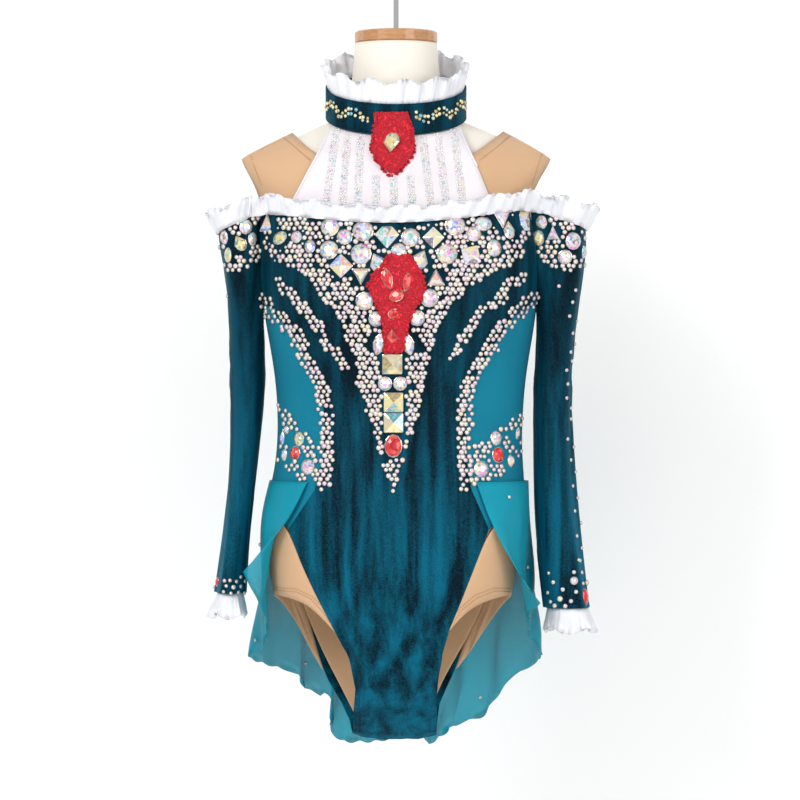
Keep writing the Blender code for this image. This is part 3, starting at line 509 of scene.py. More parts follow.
FRONT_CREASES = (
    (318, 500, 352, 640, 7, -1.6), (340, 470, 366, 610, 9, -1.2), (372, 520, 384, 690, 8, -1.3),
    (412, 500, 404, 660, 9, -1.1), (440, 480, 424, 620, 8, -1.3), (466, 500, 438, 640, 7, -1.6),
    (360, 640, 372, 730, 6, -1.2), (398, 660, 400, 732, 7, 1.0), (426, 640, 418, 728, 6, -1.2),
    (300, 300, 350, 420, 10, -1.2), (490, 300, 440, 420, 10, -1.2), (334, 400, 330, 480, 7, -1.0),
    (345, 560, 420, 566, 12, 0.9), (352, 430, 372, 500, 8, 0.9), (432, 430, 414, 500, 8, 0.9),
    (268, 240, 290, 300, 9, -1.0), (524, 240, 506, 300, 9, -1.0),
) + tuple((447 - k % 2, 648 + 9 * k, 424, 655 + 9 * k, 2.6, -0.9) for k in range(9))
BACK_CREASES = (
    (330, 300, 350, 440, 12, -1.4), (470, 300, 445, 440, 12, -1.4),
    (396, 360, 398, 520, 12, -1.4), (340, 560, 366, 700, 9, -1.4),
    (450, 560, 426, 700, 9, -1.4), (398, 600, 398, 720, 9, 1.1),
)
print("creases:", len(FRONT_CREASES) + len(BACK_CREASES))


# %% Body panels
ARCH_TOP, ARCH_TALL, ARCH_RISE, ARCH_DROP = -0.745, 0.047, 0.006, 0.005
ARCH_LEVEL, ARCH_HALF = 0.012, 0.045


def arched(ob):
    """Round off the crotch: its corners rise and its middle drops."""
    for vert in ob.data.vertices:
        below = max(ARCH_TOP - vert.co.z, 0.0) / ARCH_TALL
        aside = max(abs(vert.co.x) - ARCH_LEVEL, 0.0) / ARCH_HALF
        below, aside = min(below, 1.0) ** 2, min(aside, 1.0) ** 2
        vert.co.z += below * (ARCH_RISE * aside - ARCH_DROP * (1 - aside))


def body_shell(node, mat, thick, creases, face):
    """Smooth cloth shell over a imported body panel."""
    ob = as_object(node + "_cloth", one_side(node, outside=False), mat)
    subdivided(ob, 2)
    arched(ob)
    pushed(ob, crease_field(creases, face))
    thickened(ob, thick * MM)
    ob.data.shade_smooth()
    return dressed(ob, node)


front_cloth = body_shell("front_panel", VELVET, 1.3, FRONT_CREASES, -1)
back_cloth = body_shell("back_panel", VELVET, 1.3, BACK_CREASES, 1)
side_left = body_shell("side_panel_left", TURQUOISE, 1.0, FRONT_CREASES, -1)
side_right = body_shell("side_panel_right", TURQUOISE, 1.0, FRONT_CREASES, -1)


# %% [markdown]
# ## Sleeves
#
# A sleeve is a narrow tube that twists a little as it hangs. Its folds run almost its
# whole length, deeper towards the cuff, and a few short ones cross at the elbow.

# %% Sleeves
FOLD_DEPTH = 0.8
ELBOW_AT, ELBOW_REACH = 0.42, 0.10
UPPER_ARM_X, UPPER_ARM_SHARE = 0.145, 0.45


def sleeve_folds(node):
    """Long folds that wander round the tube, and short ones at the elbow."""
    low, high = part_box(node)
    centre = middle(node)

    def shape(spots):
        turn = np.arctan2(spots[:, 1] - centre[1], spots[:, 0] - centre[0])
        down = (high[2] - spots[:, 2]) / (high[2] - low[2])
        long_folds = 1.1 * np.sin(4 * turn + 3.0 * down + 0.8) * np.clip(down * 1.6, 0.15, 1)
        long_folds += 0.7 * np.sin(7 * turn - 4.0 * down)
        elbow = np.exp(-((down - ELBOW_AT) / ELBOW_REACH) ** 2)
        elbow *= np.sin(60 * down + 2.2 * np.sin(turn))
        hug = np.where(np.abs(spots[:, 0]) < UPPER_ARM_X, UPPER_ARM_SHARE, 1.0)
        return (long_folds + elbow) * MM * FOLD_DEPTH * hug

    return shape


def sleeve_shell(node):
    ob = as_object(node + "_cloth", one_side(node, False, middle(node)), VELVET)
    subdivided(ob, 2)
    pushed(ob, sleeve_folds(node))
    thickened(ob, 1.2 * MM)
    return dressed(ob, node)


sleeve_left = sleeve_shell("sleeve_left")
sleeve_right = sleeve_shell("sleeve_right")


# %% [markdown]
# ## Yoke, collar and appliques
#
# The halter yoke is a fine white mesh. The collar is a band of the same velvet, and
# the red pieces are corded lace, so their shader raises little loops.

# %% Red lace
def lace():
    """Embroidered cords over net: bright on the raised thread, deep red between."""
    mat, tree, shader = blank("red_corded_lace")
    cords = wired(tree, "ShaderNodeTexNoise", {"Vector": here(tree)}, scale=330.0, detail=3.0,
                  distortion=1.6)
    line = wired(tree, "ShaderNodeMapRange",
                 {"Value": (cords, "Fac"), "From Min": 0.38, "From Max": 0.62})
    coloured(shader, line, 0, (0.45, 0.0, 0.012), (0.84, 0.010, 0.03))
    shader.inputs["Roughness"].default_value = 0.55
    bumped(shader, line, 0, 0.9, 0.0015)
    return mat


LACE = lace()


# %% Whole-wall shells
def full_shell(node, mat, levels=2, shape=None, axis=None, name=None, sharp=SHARP):
    """Smoothed copy of a whole closed piece, with its rims kept crisp."""
    work = merged_copy(node)
    bmesh.ops.join_triangles(work, faces=work.faces, angle_face_threshold=0.7,
                             angle_shape_threshold=1.2)
    crease = work.edges.layers.float.new("crease_edge")
    for edge in work.edges:
        if len(edge.link_faces) == 2 and edge.calc_face_angle(0) > sharp:
            edge[crease] = 1.0
    ob = as_object(name or node + "_cloth", work, mat)
    subdivided(ob, levels)
    if shape:
        pushed(ob, shape, axis)
    return dressed(ob, node)


def lace_loops(spots):
    """Raised scrolls of cord over the lace's face."""
    x, z = spots[:, 0] * 1000, spots[:, 2] * 1000
    loops = np.sin(x * 0.9 + 2 * np.sin(z * 0.35)) * np.sin(z * 0.8 + 2 * np.sin(x * 0.4))
    return np.where(loops > 0, loops, 0) * 0.6 * MM


yoke = full_shell("yoke", MESH, 1)
hip_left = full_shell("hip_panel_left", NUDE, 2)
hip_right = full_shell("hip_panel_right", NUDE, 2)
nude_front = full_shell("nude_front", NUDE, 1)
nude_back = full_shell("nude_back", NUDE, 1)
lining = full_shell("seat_lining", NUDE, 2)
BODY_CLOTH = [front_cloth, back_cloth, side_left, side_right, hip_left, hip_right]
collar = full_shell("collar_band", VELVET, 2)
collar_lace = full_shell("collar_applique", LACE, 3, lace_loops)
chest_lace = full_shell("chest_applique", LACE, 3, lace_loops)


# %% [markdown]
# ## Frills and the skirt
#
# Organza stands up in waves and its free edge crumples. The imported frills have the
# waves; the shells add the small crumples, strongest at the edge.

# %% Frills
BODY_AXIS = (0.0, 0.02)


def crumple(node, short, long, foot_down):
    """Short and long ripples, in mm, that grow towards a frill's free edge."""
    low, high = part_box(node)
    tall = high[2] - low[2]

    def shape(spots):
        x, y, z = (spots[:, k] * 1000 for k in range(3))
        share = (high[2] - spots[:, 2]) / tall
        share = share if foot_down else 1 - share
        ripple = np.sin(x * 0.9 + 1.7 * np.sin(y * 0.5)) + np.sin(y * 1.1 + z * 0.6)
        wave = np.sin(x * 0.33 + 0.8 * np.sin(x * 0.05) + y * 0.25)
        return (short * ripple + long * wave) * MM * np.clip(share, 0.1, 1)

    return shape


neck_frill = full_shell("neck_frill", ORGANZA, 2, crumple("neck_frill", 0.45, 1.9, False),
                        BODY_AXIS)
FRILL_OVERLAP = 0.0016
for vert in neck_frill.data.vertices:
    vert.co.z -= FRILL_OVERLAP
collar_frill = full_shell("collar_frill", ORGANZA, 2, crumple("collar_frill", 0.4, 1.2, False),
                          BODY_AXIS)
cuff_left = full_shell("cuff_frill_left", ORGANZA, 2,
                       crumple("cuff_frill_left", 0.4, 1.0, True), middle("cuff_frill_left"))
cuff_right = full_shell("cuff_frill_right", ORGANZA, 2,
                        crumple("cuff_frill_right", 0.4, 1.0, True), middle("cuff_frill_right"))


# %% Skirt
SKIRT_TOP, SKIRT_TALL = 0.54, 0.26


def skirt_ripples(spots):
    """Fine drapes between the skirt's main flutes."""
    turn = np.arctan2(spots[:, 0], spots[:, 1])
    down = np.clip((-spots[:, 2] - SKIRT_TOP) / SKIRT_TALL, 0, 1)
    ripple = np.sin(41 * turn + 2.0 * down) + 0.6 * np.sin(67 * turn - 3.0 * down)
    return (ripple * 0.35 + 3.2 * np.sin(27 * turn + 1.2 * down)) * MM * down


skirt = full_shell("skirt", CHIFFON, 2, skirt_ripples, BODY_AXIS)


# %% [markdown]
# ## The dress form
#
# The form's own solids have the right shape, so only their finish changes: a linen
# cover, a varnished wood cap and a polished chrome hook.

# %% Form finishes
def wood_finish():
    mat, tree, shader = blank("cap_wood")
    stretch = wired(tree, "ShaderNodeMapping", {"Vector": here(tree), "Scale": (1.0, 8.0, 8.0)})
    rings = wired(tree, "ShaderNodeTexNoise", {"Vector": (stretch, 0)}, scale=28.0, detail=6.0,
                  distortion=1.2)
    coloured(shader, rings, "Fac", (0.30, 0.12, 0.04), (0.62, 0.32, 0.13))
    tune(shader, {"Roughness": 0.35, "Coat Weight": 0.4})
    bumped(shader, rings, "Fac", 0.15, 0.0004)
    return mat


def chrome_finish():
    mat, tree, shader = blank("hook_chrome")
    haze = wired(tree, "ShaderNodeTexNoise", {"Vector": here(tree)}, scale=160.0, detail=3.0)
    rough = wired(tree, "ShaderNodeMapRange",
                  {"Value": (haze, "Fac"), "To Min": 0.08, "To Max": 0.2})
    link(rough, 0, shader, "Roughness")
    tune(shader, {"Base Color": (0.62, 0.61, 0.60, 1), "Metallic": 1.0})
    return mat


LINEN = jersey("form_linen", (0.76, 0.70, 0.60), (0.86, 0.81, 0.72), 0.15)


def finish_node(node, mat):
    mesh = nodes[node].data
    mesh.materials.clear()
    mesh.materials.append(mat)
    print(node, "finished with", mat.name)


finish_node("form_cap", wood_finish())
finish_node("hanging_hook", chrome_finish())


# %% Smooth form
FORM_SHARP = math.radians(50)
full_shell("form_torso", LINEN, name="form_cover", sharp=FORM_SHARP)


# %% [markdown]
# ## Stones and beads
#
# Each sew-on stone is a small faceted solid: girdle, two rows of crown facets and a
# flat table. Its place is a pixel of the front, and the ray gives its depth and tilt.
# Every facet keeps a random tint number, which the shader turns into the shifting
# pinks, yellows and greens of coated crystal, with some facets painted dark as a
# reflection; the colour is also painted darker towards each rim as shade.

# %% Crystal materials
CLOUD_SHARE = 0.35


def crystal(name, stops, metallic, patch=190.0, rim=0.25):
    """Coated crystal: a tint number per facet or bead picks a colour off a ramp, and the colour
    is painted darker towards the rim, by rim, as shade.
    """
    mat, tree, shader = blank(name)
    tint = add(tree, "ShaderNodeAttribute", attribute_name="tint")
    cloud = wired(tree, "ShaderNodeTexNoise", {"Vector": here(tree)}, scale=patch, detail=1.0)
    blend = maths(tree, "MULTIPLY_ADD", (cloud, "Fac"), CLOUD_SHARE, (tint, "Fac"))
    wrap = maths(tree, "FRACT", (blend, 0))
    ramp = wired(tree, "ShaderNodeValToRGB", {"Fac": (wrap, 0)})
    points = ramp.color_ramp.elements
    while len(points) < len(stops):
        points.new(0.5)
    for k, colour in enumerate(stops):
        points[k].position = k / (len(stops) - 1)
        points[k].color = (*colour, 1)
    # Painted shade: the colour darkens where the surface turns away from the view.
    turning = add(tree, "ShaderNodeLayerWeight", blend=0.5)
    shade = maths(tree, "MULTIPLY_ADD", (turning, "Facing"), -rim, 1.0)
    dimmed = wired(tree, "ShaderNodeVectorMath", {0: (ramp, "Color"), "Scale": (shade, 0)},
                   operation="SCALE")
    link(dimmed, 0, shader, "Base Color")
    tune(shader, {"Metallic": metallic, "Roughness": 0.12, "Coat Weight": 0.8,
                  "Coat Roughness": 0.03})
    bumped(shader, cloud, "Fac", 0.1, 0.0003)
    return mat


PEARL = (0.76, 0.75, 0.71)
ICE = (0.66, 0.74, 0.82)
# A dark stop painted on some facets as a dark reflection.
PAINTED_DARK_REFLECTION = (0.20, 0.16, 0.22)
AB = crystal("crystal_ab", [PEARL, (0.88, 0.82, 0.40), PEARL, (0.78, 0.22, 0.62), PEARL, ICE,
                            (0.18, 0.26, 0.84), PEARL, PAINTED_DARK_REFLECTION, PEARL, (0.86, 0.72, 0.28),
                            (0.74, 0.60, 0.80), PEARL, (0.12, 0.60, 0.52), PEARL,
                            (0.84, 0.36, 0.22), PEARL], 0.35)
GOLD = crystal("crystal_gold", [(0.84, 0.68, 0.22), (0.92, 0.82, 0.46), (0.40, 0.29, 0.12),
                                (0.80, 0.76, 0.58), (0.06, 0.36, 0.48), (0.90, 0.78, 0.36),
                                (0.66, 0.58, 0.48)], 0.5)
RED = crystal("crystal_red", [(0.66, 0.0, 0.02), (0.84, 0.03, 0.03), (0.42, 0.0, 0.01),
                              (0.90, 0.16, 0.10), (0.60, 0.0, 0.02)], 0.3)
BLUE = crystal("crystal_blue", [(0.25, 0.45, 0.90), (0.60, 0.80, 0.95), (0.35, 0.25, 0.75),
                                (0.75, 0.78, 0.85)], 0.4)
BEAD = crystal("bead_ab", [(0.70, 0.64, 0.60), (0.74, 0.68, 0.58), (0.66, 0.58, 0.58),
                           (0.74, 0.52, 0.58), (0.70, 0.66, 0.60), (0.76, 0.68, 0.50),
                           (0.68, 0.60, 0.62), (0.62, 0.64, 0.70)], 0.25, 420.0, 0.75)
SPARK = (0.92, 0.92, 0.90)
GLITTER = crystal("yoke_glitter", [SPARK, (0.78, 0.77, 0.78), SPARK, (0.82, 0.34, 0.62), SPARK,
                                   SPARK, (0.60, 0.60, 0.64), SPARK, (0.16, 0.58, 0.62), SPARK,
                                   (0.80, 0.79, 0.80), SPARK, (0.88, 0.80, 0.44), SPARK],
                  0.2, 420.0, 0.25)
CLAW = crystal("claw_metal", [(0.30, 0.27, 0.22), (0.62, 0.58, 0.50)], 0.9)


# %% Stone outlines
def round_outline(wide, high, count=12):
    turns = [2 * math.pi * k / count for k in range(count)]
    return [(math.sin(t) * wide / 2, math.cos(t) * high / 2) for t in turns]


def drop_outline(wide, high):
    """Pear with its point up."""
    outline = round_outline(wide, high)
    return [(x * (1 - 0.75 * max(z, 0) / (high / 2)), z) for x, z in outline]


def navette_outline(wide, high):
    outline = round_outline(wide, high)
    return [(x * (1 - 0.5 * (abs(z) / (high / 2)) ** 2), z) for x, z in outline]


def corner_outline(wide, high, corners, cut=0.05):
    """Straight-sided outline with each corner cut off."""
    shapes = {
        "square": [(-1, -1), (-1, 1), (1, 1), (1, -1)],
        "diamond": [(-1, 0), (0, 1), (1, 0), (0, -1)],
        "triangle": [(-1, -1), (0, 1), (1, -1)],
        "triangle_down": [(-1, 1), (1, 1), (0, -1)],
        "kite": [(-1, 0.25), (-0.4, 1), (0.4, 1), (1, 0.25), (0, -1)],
    }
    spots = [(x * wide / 2, z * high / 2) for x, z in shapes[corners]]
    outline = []
    for k, spot in enumerate(spots):
        before, after = spots[k - 1], spots[(k + 1) % len(spots)]
        for other in (before, after):
            outline.append(tuple(a + (b - a) * cut for a, b in zip(spot, other)))
    return outline


def outline_of(shape, wide, high):
    makers = {"round": round_outline, "drop": drop_outline, "navette": navette_outline}
    if shape == "drop_down":
        return [(-x, -z) for x, z in drop_outline(wide, high)]
    if shape in makers:
        return makers[shape](wide, high)
    return corner_outline(wide, high, shape)


print("outline points of a square:", len(outline_of("square", 10, 10)))


# %% Faceted stones
CROWN = ((1.06, 0.0), (1.06, 0.22), (0.97, 0.30), (0.74, 0.72), (0.42, 1.0))
PYRAMID = ((1.03, 0.0), (1.03, 0.22), (0.99, 0.28), (0.5, 0.68), (0.04, 1.0))
STONE_THICK, THINNEST, THICKEST, STONE_SUNK = 0.24, 2.2, 5.0, 0.4
TURNED_AWAY = -0.6


def stones_object(name, stones, tree, main, rises=0.0):
    """One mesh of stones: (shape, px, py, width, height in px, slant in degrees)."""
    rng = random.Random(name)
    verts, faces, tints, slots = [], [], [], []
    for shape, px, py, wide, high, slant in stones:
        met = on_cloth(tree, px, py)
        if met is None:
            print("nothing behind", name, px, py)
            continue
        spot, out = met
        if out.y > TURNED_AWAY:
            out = (out + Vector((0, -1, 0))).normalized()
        up = (Vector((0, 0, 1)) - out * out.z).normalized()
        side = up.cross(out)
        thick = min(max(STONE_THICK * min(wide, high), THINNEST), THICKEST) * MM
        turn = math.radians(slant)
        outline = outline_of(shape, wide, high)
        count = len(outline)
        start = len(verts)
        base = spot + out * (rises * MM - STONE_SUNK * MM)
        crown = PYRAMID if shape in ("square", "diamond", "kite") else CROWN
        for size, level in crown:
            for x, z in outline:
                a = (x * math.cos(turn) - z * math.sin(turn)) * size * MM
                b = (x * math.sin(turn) + z * math.cos(turn)) * size * MM
                verts.append(base + side * a + up * b + out * (thick * level))
        sides = [rng.random() for _ in range(count // 2 + 1)]
        for ring in range(len(CROWN) - 1):
            for k in range(count):
                j = (k + 1) % count
                p, q = start + ring * count, start + (ring + 1) * count
                faces.append((p + k, p + j, q + j, q + k))
                tints.append(sides[(k + 1) // 2] if crown is PYRAMID else rng.random())
                slots.append(1 if ring < 2 else 0)
        faces.append(tuple(start + (len(CROWN) - 1) * count + k for k in range(count)))
        tints.append(rng.random())
        slots.append(0)
        faces.append(tuple(start + count - 1 - k for k in range(count)))
        tints.append(0.0)
        slots.append(1)
    mesh = bpy.data.meshes.new(name)
    mesh.from_pydata(verts, [], faces)
    for mat in (main, CLAW):
        mesh.materials.append(mat)
    mesh.polygons.foreach_set("material_index", slots)
    store = mesh.attributes.new("tint", "FLOAT", "FACE")
    store.data.foreach_set("value", tints)
    work = bmesh.new()
    work.from_mesh(mesh)
    bmesh.ops.recalc_face_normals(work, faces=work.faces)
    work.to_mesh(mesh)
    work.free()
    ob = placed(name, mesh)
    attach(ob, "root")
    print(name, len(stones), "stones", len(faces), "faces")
    return ob


# %% Large stones of the neckline
cloth_tree = tree_of(BODY_CLOTH + [sleeve_left, sleeve_right])
NECKLINE = [
    ("triangle", 267.6, 222, 18, 18, 0), ("round", 296.5, 237, 12, 12, 0),
    ("round", 310, 246.5, 11, 13, 0), ("round", 330, 227, 18, 18, 0),
    ("round", 329, 250, 18, 18, 0), ("round", 344.6, 237, 15, 15, 0),
    ("round", 363, 231, 20, 20, 0), ("round", 361, 254, 20, 20, 0),
    ("kite", 387, 237.6, 24, 22, 0), ("round", 399, 251, 15, 15, 0),
    ("drop", 377.8, 263, 16, 20, 25), ("diamond", 341, 266, 24, 24, 0),
    ("triangle_down", 361, 277, 18, 16, 0), ("round", 410.5, 237.6, 18, 18, 0),
    ("drop", 420, 260, 16, 20, -25), ("diamond", 433.4, 237.6, 22, 22, 0),
    ("round", 447, 254, 20, 20, 0), ("round", 455, 225.6, 20, 20, 0),
    ("round", 473.7, 234, 15, 15, 0), ("round", 483, 224, 18, 14, 0),
    ("square", 471, 255.5, 17, 17, 12), ("triangle_down", 502, 220, 20, 18, 0),
    ("round", 494, 248, 15, 17, 0), ("drop", 509, 230, 13, 18, 0),
    ("square", 522.7, 221, 15, 19, 0), ("triangle", 436, 277, 18, 16, 0),
    ("round", 542, 222, 13, 13, 0), ("triangle", 553, 232.5, 14, 14, 0),
    ("round", 573, 241, 17, 17, 0), ("round", 565, 257, 14, 14, 0),
    ("round", 583, 252, 10, 13, 0), ("round", 246, 227, 14, 14, 0),
    ("round", 225, 237, 11, 14, 0), ("round", 252.5, 239, 12, 14, 0),
]
BESIDE_LACE = [
    ("round", 364.6, 301, 17.6, 17.6, 0), ("round", 429.5, 298, 17.6, 17.6, 0),
    ("round", 376, 319, 14.5, 14.5, 0), ("round", 417, 318, 15.4, 15.4, 0),
    ("navette", 379, 344, 12, 22, -14), ("navette", 408, 344, 12, 22, 14),
]
HIP_STONES = [
    ("round", 308, 467, 15, 15, 0), ("round", 285, 455, 9, 12, 0),
    ("round", 496, 438, 14, 14, 0), ("round", 481, 469, 16, 16, 0),
    ("round", 511, 461, 12, 12, 0), ("navette", 517, 434, 8, 14, -20),
    ("round", 277, 419, 9, 9, 0), ("round", 287, 430, 8, 8, 0),
]
YELLOW = [
    ("round", 280, 238, 18, 12, 20), ("drop", 240, 243, 12, 16, 30),
    ("round", 538, 238, 13, 15, 0), ("round", 299, 439, 14, 14, 0),
    ("round", 228, 255, 10, 15, -15),
]
RED_SET = [
    ("round", 295, 453, 14, 13, 0), ("round", 498, 455, 15, 15, 0),
    ("round", 584.5, 597, 10, 17, 0), ("round", 218, 582, 7, 10, 0),
]
BLUE_SET = [("drop", 283, 437, 9, 15, 0)]
large = stones_object("stones_ab", NECKLINE + BESIDE_LACE + HIP_STONES, cloth_tree, AB)
yellow = stones_object("stones_yellow", YELLOW, cloth_tree, GOLD)
reds = stones_object("stones_red", RED_SET, cloth_tree, RED)
blues = stones_object("stones_blue", BLUE_SET, cloth_tree, BLUE)


# %% Stones in the place of packed ones
CENTRE = [
    ("gold_square_1", "square", 392.3, 364, 19.5, 19.5, GOLD),
    ("gold_round_left", "round", 385, 383.5, 13.6, 13.6, AB),
    ("gold_round_right", "round", 400.2, 383.5, 13.6, 13.6, AB),
    ("gold_square_2", "square", 393.5, 402.3, 19, 19, GOLD),
    ("gold_square_3", "square", 393.5, 422.8, 19, 19, GOLD),
    ("red_oval", "round", 393.3, 446, 17, 22, RED),
]
for node, shape, px, py, wide, high, mat in CENTRE:
    made = stones_object(node + "_cut", [(shape, px, py, wide, high, 0)], cloth_tree, mat, 1.0)
    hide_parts(node)
lace_tree = tree_of([chest_lace, collar_lace])
collar_gem = stones_object("collar_stone_cut", [("drop_down", 391.5, 142, 16, 22, 0)],
                           lace_tree, GOLD, 0.6)
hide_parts("collar_stone")
LACE_STONES = [
    ("navette", 387, 278, 10, 22, 18), ("navette", 408, 281, 10, 21, -18),
    ("round", 396, 295, 15, 13, 0), ("round", 394, 314, 12, 10, 0),
    ("diamond", 392, 338, 11, 19, 0),
]
lace_gems = stones_object("stones_on_lace", LACE_STONES, lace_tree, RED)


# %% [markdown]
# ## Beads by Geometry Nodes
#
# Some thousand small beads are one bead instanced on points. The points come from
# rules: a honeycomb inside an outline or beside a line, thinned where stones sit. The
# node tree aims each bead along the cloth's slope and hands its tint on to the shader.

# %% Node groups that repeat a shape
def copies_group(name, settings):
    """Geometry node group: its tree, given and out nodes and its inputs' identifiers."""
    tree = bpy.data.node_groups.new(name, "GeometryNodeTree")
    sockets = {}
    for label, kind, value in (("Geometry", "Geometry", None), *settings,
                               ("Material", "Material", None)):
        socket = tree.interface.new_socket(label, in_out="INPUT",
                                           socket_type="NodeSocket" + kind)
        if value is not None:
            socket.default_value = value
        sockets[label] = socket.identifier
    tree.interface.new_socket("Geometry", in_out="OUTPUT", socket_type="NodeSocketGeometry")
    given, out = tree.nodes.new("NodeGroupInput"), tree.nodes.new("NodeGroupOutput")
    return tree, given, out, sockets


def copies_on(tree, given, out, points, shape, way, scale):
    """Copies of a shape on points, aimed along a way, made real and given the material."""
    aim = wired(tree, "FunctionNodeAlignRotationToVector", {"Vector": way}, axis="Z")
    copies = wired(tree, "GeometryNodeInstanceOnPoints",
                   {"Points": points, "Instance": shape, "Rotation": (aim, "Rotation"),
                    "Scale": scale})
    real = wired(tree, "GeometryNodeRealizeInstances", {"Geometry": (copies, "Instances")})
    coated = wired(tree, "GeometryNodeSetMaterial",
                   {"Geometry": (real, "Geometry"), "Material": (given, "Material")})
    link(coated, "Geometry", out, "Geometry")


def made_real(ob, group, values):
    """Run a copies group on an object and keep its result as a plain mesh."""
    tree, sockets = group
    step = ob.modifiers.new(tree.name, "NODES")
    step.node_group = tree
    for label, value in values.items():
        step[sockets[label]] = value
    return applied(ob)


# %% Bead node tree
def bead_group():
    tree, given, out, sockets = copies_group(
        "set_beads", (("Detail", "Int", 2), ("Flatness", "Float", 0.7)))

    def named(label, kind):
        return wired(tree, "GeometryNodeInputNamedAttribute", {"Name": label},
                     data_type=kind), "Attribute"

    ball = wired(tree, "GeometryNodeMeshIcoSphere", {"Subdivisions": (given, "Detail")},
                 radius=0.5)
    flat = wired(tree, "ShaderNodeCombineXYZ", {0: 1.0, 1: 1.0, 2: (given, "Flatness")})
    bead = wired(tree, "GeometryNodeTransform",
                 {"Geometry": (ball, "Mesh"), "Scale": (flat, 0)})
    copies_on(tree, given, out, (given, "Geometry"), (bead, "Geometry"),
              named("out", "FLOAT_VECTOR"), named("size", "FLOAT"))
    return tree, sockets


BEADS = bead_group()
SUNK = 0.32
EDGE_ON = -0.12


def beads_object(name, spots, tree, mat, detail=2, flat=0.7):
    """Beads on the cloth: spots are (px, py, size in px, tint)."""
    places, outs, sizes, tints = [], [], [], []
    for px, py, size, tint in spots:
        met = on_cloth(tree, px, py)
        if met is None or met[1].y > EDGE_ON:
            continue
        places.append(met[0] + met[1] * (size * flat * SUNK * MM))
        outs.append(met[1])
        sizes.append(size * MM)
        tints.append(tint)
    mesh = bpy.data.meshes.new(name + "_points")
    mesh.from_pydata(places, [], [])
    mesh.attributes.new("out", "FLOAT_VECTOR", "POINT").data.foreach_set(
        "vector", [c for v in outs for c in v])
    mesh.attributes.new("size", "FLOAT", "POINT").data.foreach_set("value", sizes)
    mesh.attributes.new("tint", "FLOAT", "POINT").data.foreach_set("value", tints)
    ob = placed(name, mesh)
    made_real(ob, BEADS, {"Detail": detail, "Flatness": flat, "Material": mat})
    ob.data.shade_smooth()
    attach(ob, "root")
    print(name, len(places), "beads", len(ob.data.polygons), "faces")
    return ob


# %% Bead rules
def inside_outline(x, y, outline):
    hits = False
    for (x1, y1), (x2, y2) in zip(outline, outline[1:] + outline[:1]):
        if (y1 > y) != (y2 > y) and x < (x2 - x1) * (y - y1) / (y2 - y1) + x1:
            hits = not hits
    return hits


def near_line(x, y, line):
    """Distance from a point to a polyline."""
    best = 1e9
    for (x1, y1), (x2, y2) in zip(line, line[1:]):
        run = (x2 - x1) ** 2 + (y2 - y1) ** 2
        t = min(max(((x - x1) * (x2 - x1) + (y - y1) * (y2 - y1)) / run, 0), 1)
        best = min(best, math.hypot(x - x1 - t * (x2 - x1), y - y1 - t * (y2 - y1)))
    return best


ROW_SHARE = 0.87


def honeycomb(low, high, pitch, rng, jitter=0.5):
    """Pixels of a staggered grid, each moved a little at random."""
    rows = int((high[1] - low[1]) / (pitch * ROW_SHARE))
    for j in range(rows + 1):
        for i in range(int((high[0] - low[0]) / pitch) + 1):
            yield (low[0] + pitch * (i + 0.5 * (j % 2)) + rng.uniform(-jitter, jitter),
                   low[1] + pitch * ROW_SHARE * j + rng.uniform(-jitter, jitter))


V_LEFT = [
    (262, 214), (263, 238), (272, 259), (297, 271), (309, 279), (326, 301), (337, 316),
    (343, 328), (350, 350), (359, 372), (356, 384), (363, 395), (366, 412), (371, 421),
    (375, 436), (379, 452), (383, 467), (388, 474), (393, 491),
]
V_RIGHT = [
    (396, 482), (400, 467), (406, 452), (411, 436), (416, 419), (420, 411), (423, 393),
    (428, 376), (430, 358), (432, 343), (438, 332), (442, 321), (449, 315), (451, 305),
    (462, 296), (470, 286), (478, 283), (487, 277), (497, 272), (508, 268), (523, 256),
    (528, 238), (531, 211), (470, 219), (399, 229), (330, 221),
]
LINES = [
    ([(279, 282), (288, 292), (298, 300), (306, 312), (315, 322), (324, 332), (326.5, 343),
      (337, 352), (344, 367)], 5.0),
    ([(524, 277), (508, 285), (499, 301), (485, 309), (474, 321), (465, 333), (459, 349),
      (451, 356)], 5.0),
    ([(263, 299), (270, 310), (284, 322), (294, 331), (301, 345), (307, 358), (314, 373),
      (320, 383), (325, 398), (327, 430), (326, 465), (323, 484)], 7.5),
    ([(534, 300), (524, 305), (512, 317), (500, 328), (495, 342), (487, 352), (481, 363),
      (474, 374), (468, 386), (465, 400), (464, 465), (467, 488)], 7.5),
]
PATCHES = [
    [(277, 400), (300, 424), (316, 448), (318, 480), (300, 480), (284, 468), (275, 458)],
    [(522, 408), (504, 424), (474, 446), (470, 480), (492, 480), (512, 468), (523, 452)],
    [(219, 224), (240, 219), (259, 214), (262, 258), (248, 270), (228, 272), (220, 256)],
    [(535, 214), (562, 216), (589, 226), (590, 262), (572, 272), (552, 268), (538, 258)],
]
LACE_EDGE = [(385, 253), (412, 253), (424, 272), (430, 286), (424, 300), (415, 318),
             (407, 330), (404, 356), (381, 356), (381, 330), (376, 312), (367, 296),
             (365, 284), (373, 268)]
COLUMN = [(380, 352), (405, 352), (405, 375), (409, 384), (405, 393), (405, 434),
          (403, 458), (384, 458), (382, 434), (382, 393), (377, 384), (381, 375)]
STONE_SPOTS = [(s[1], s[2], max(s[3], s[4]) / 2)
               for s in NECKLINE + BESIDE_LACE + HIP_STONES + YELLOW + RED_SET + BLUE_SET]


def clear_of_stones(x, y, margin):
    if inside_outline(x, y, LACE_EDGE) or inside_outline(x, y, COLUMN):
        return False
    return all(math.hypot(x - sx, y - sy) > r + margin for sx, sy, r in STONE_SPOTS)


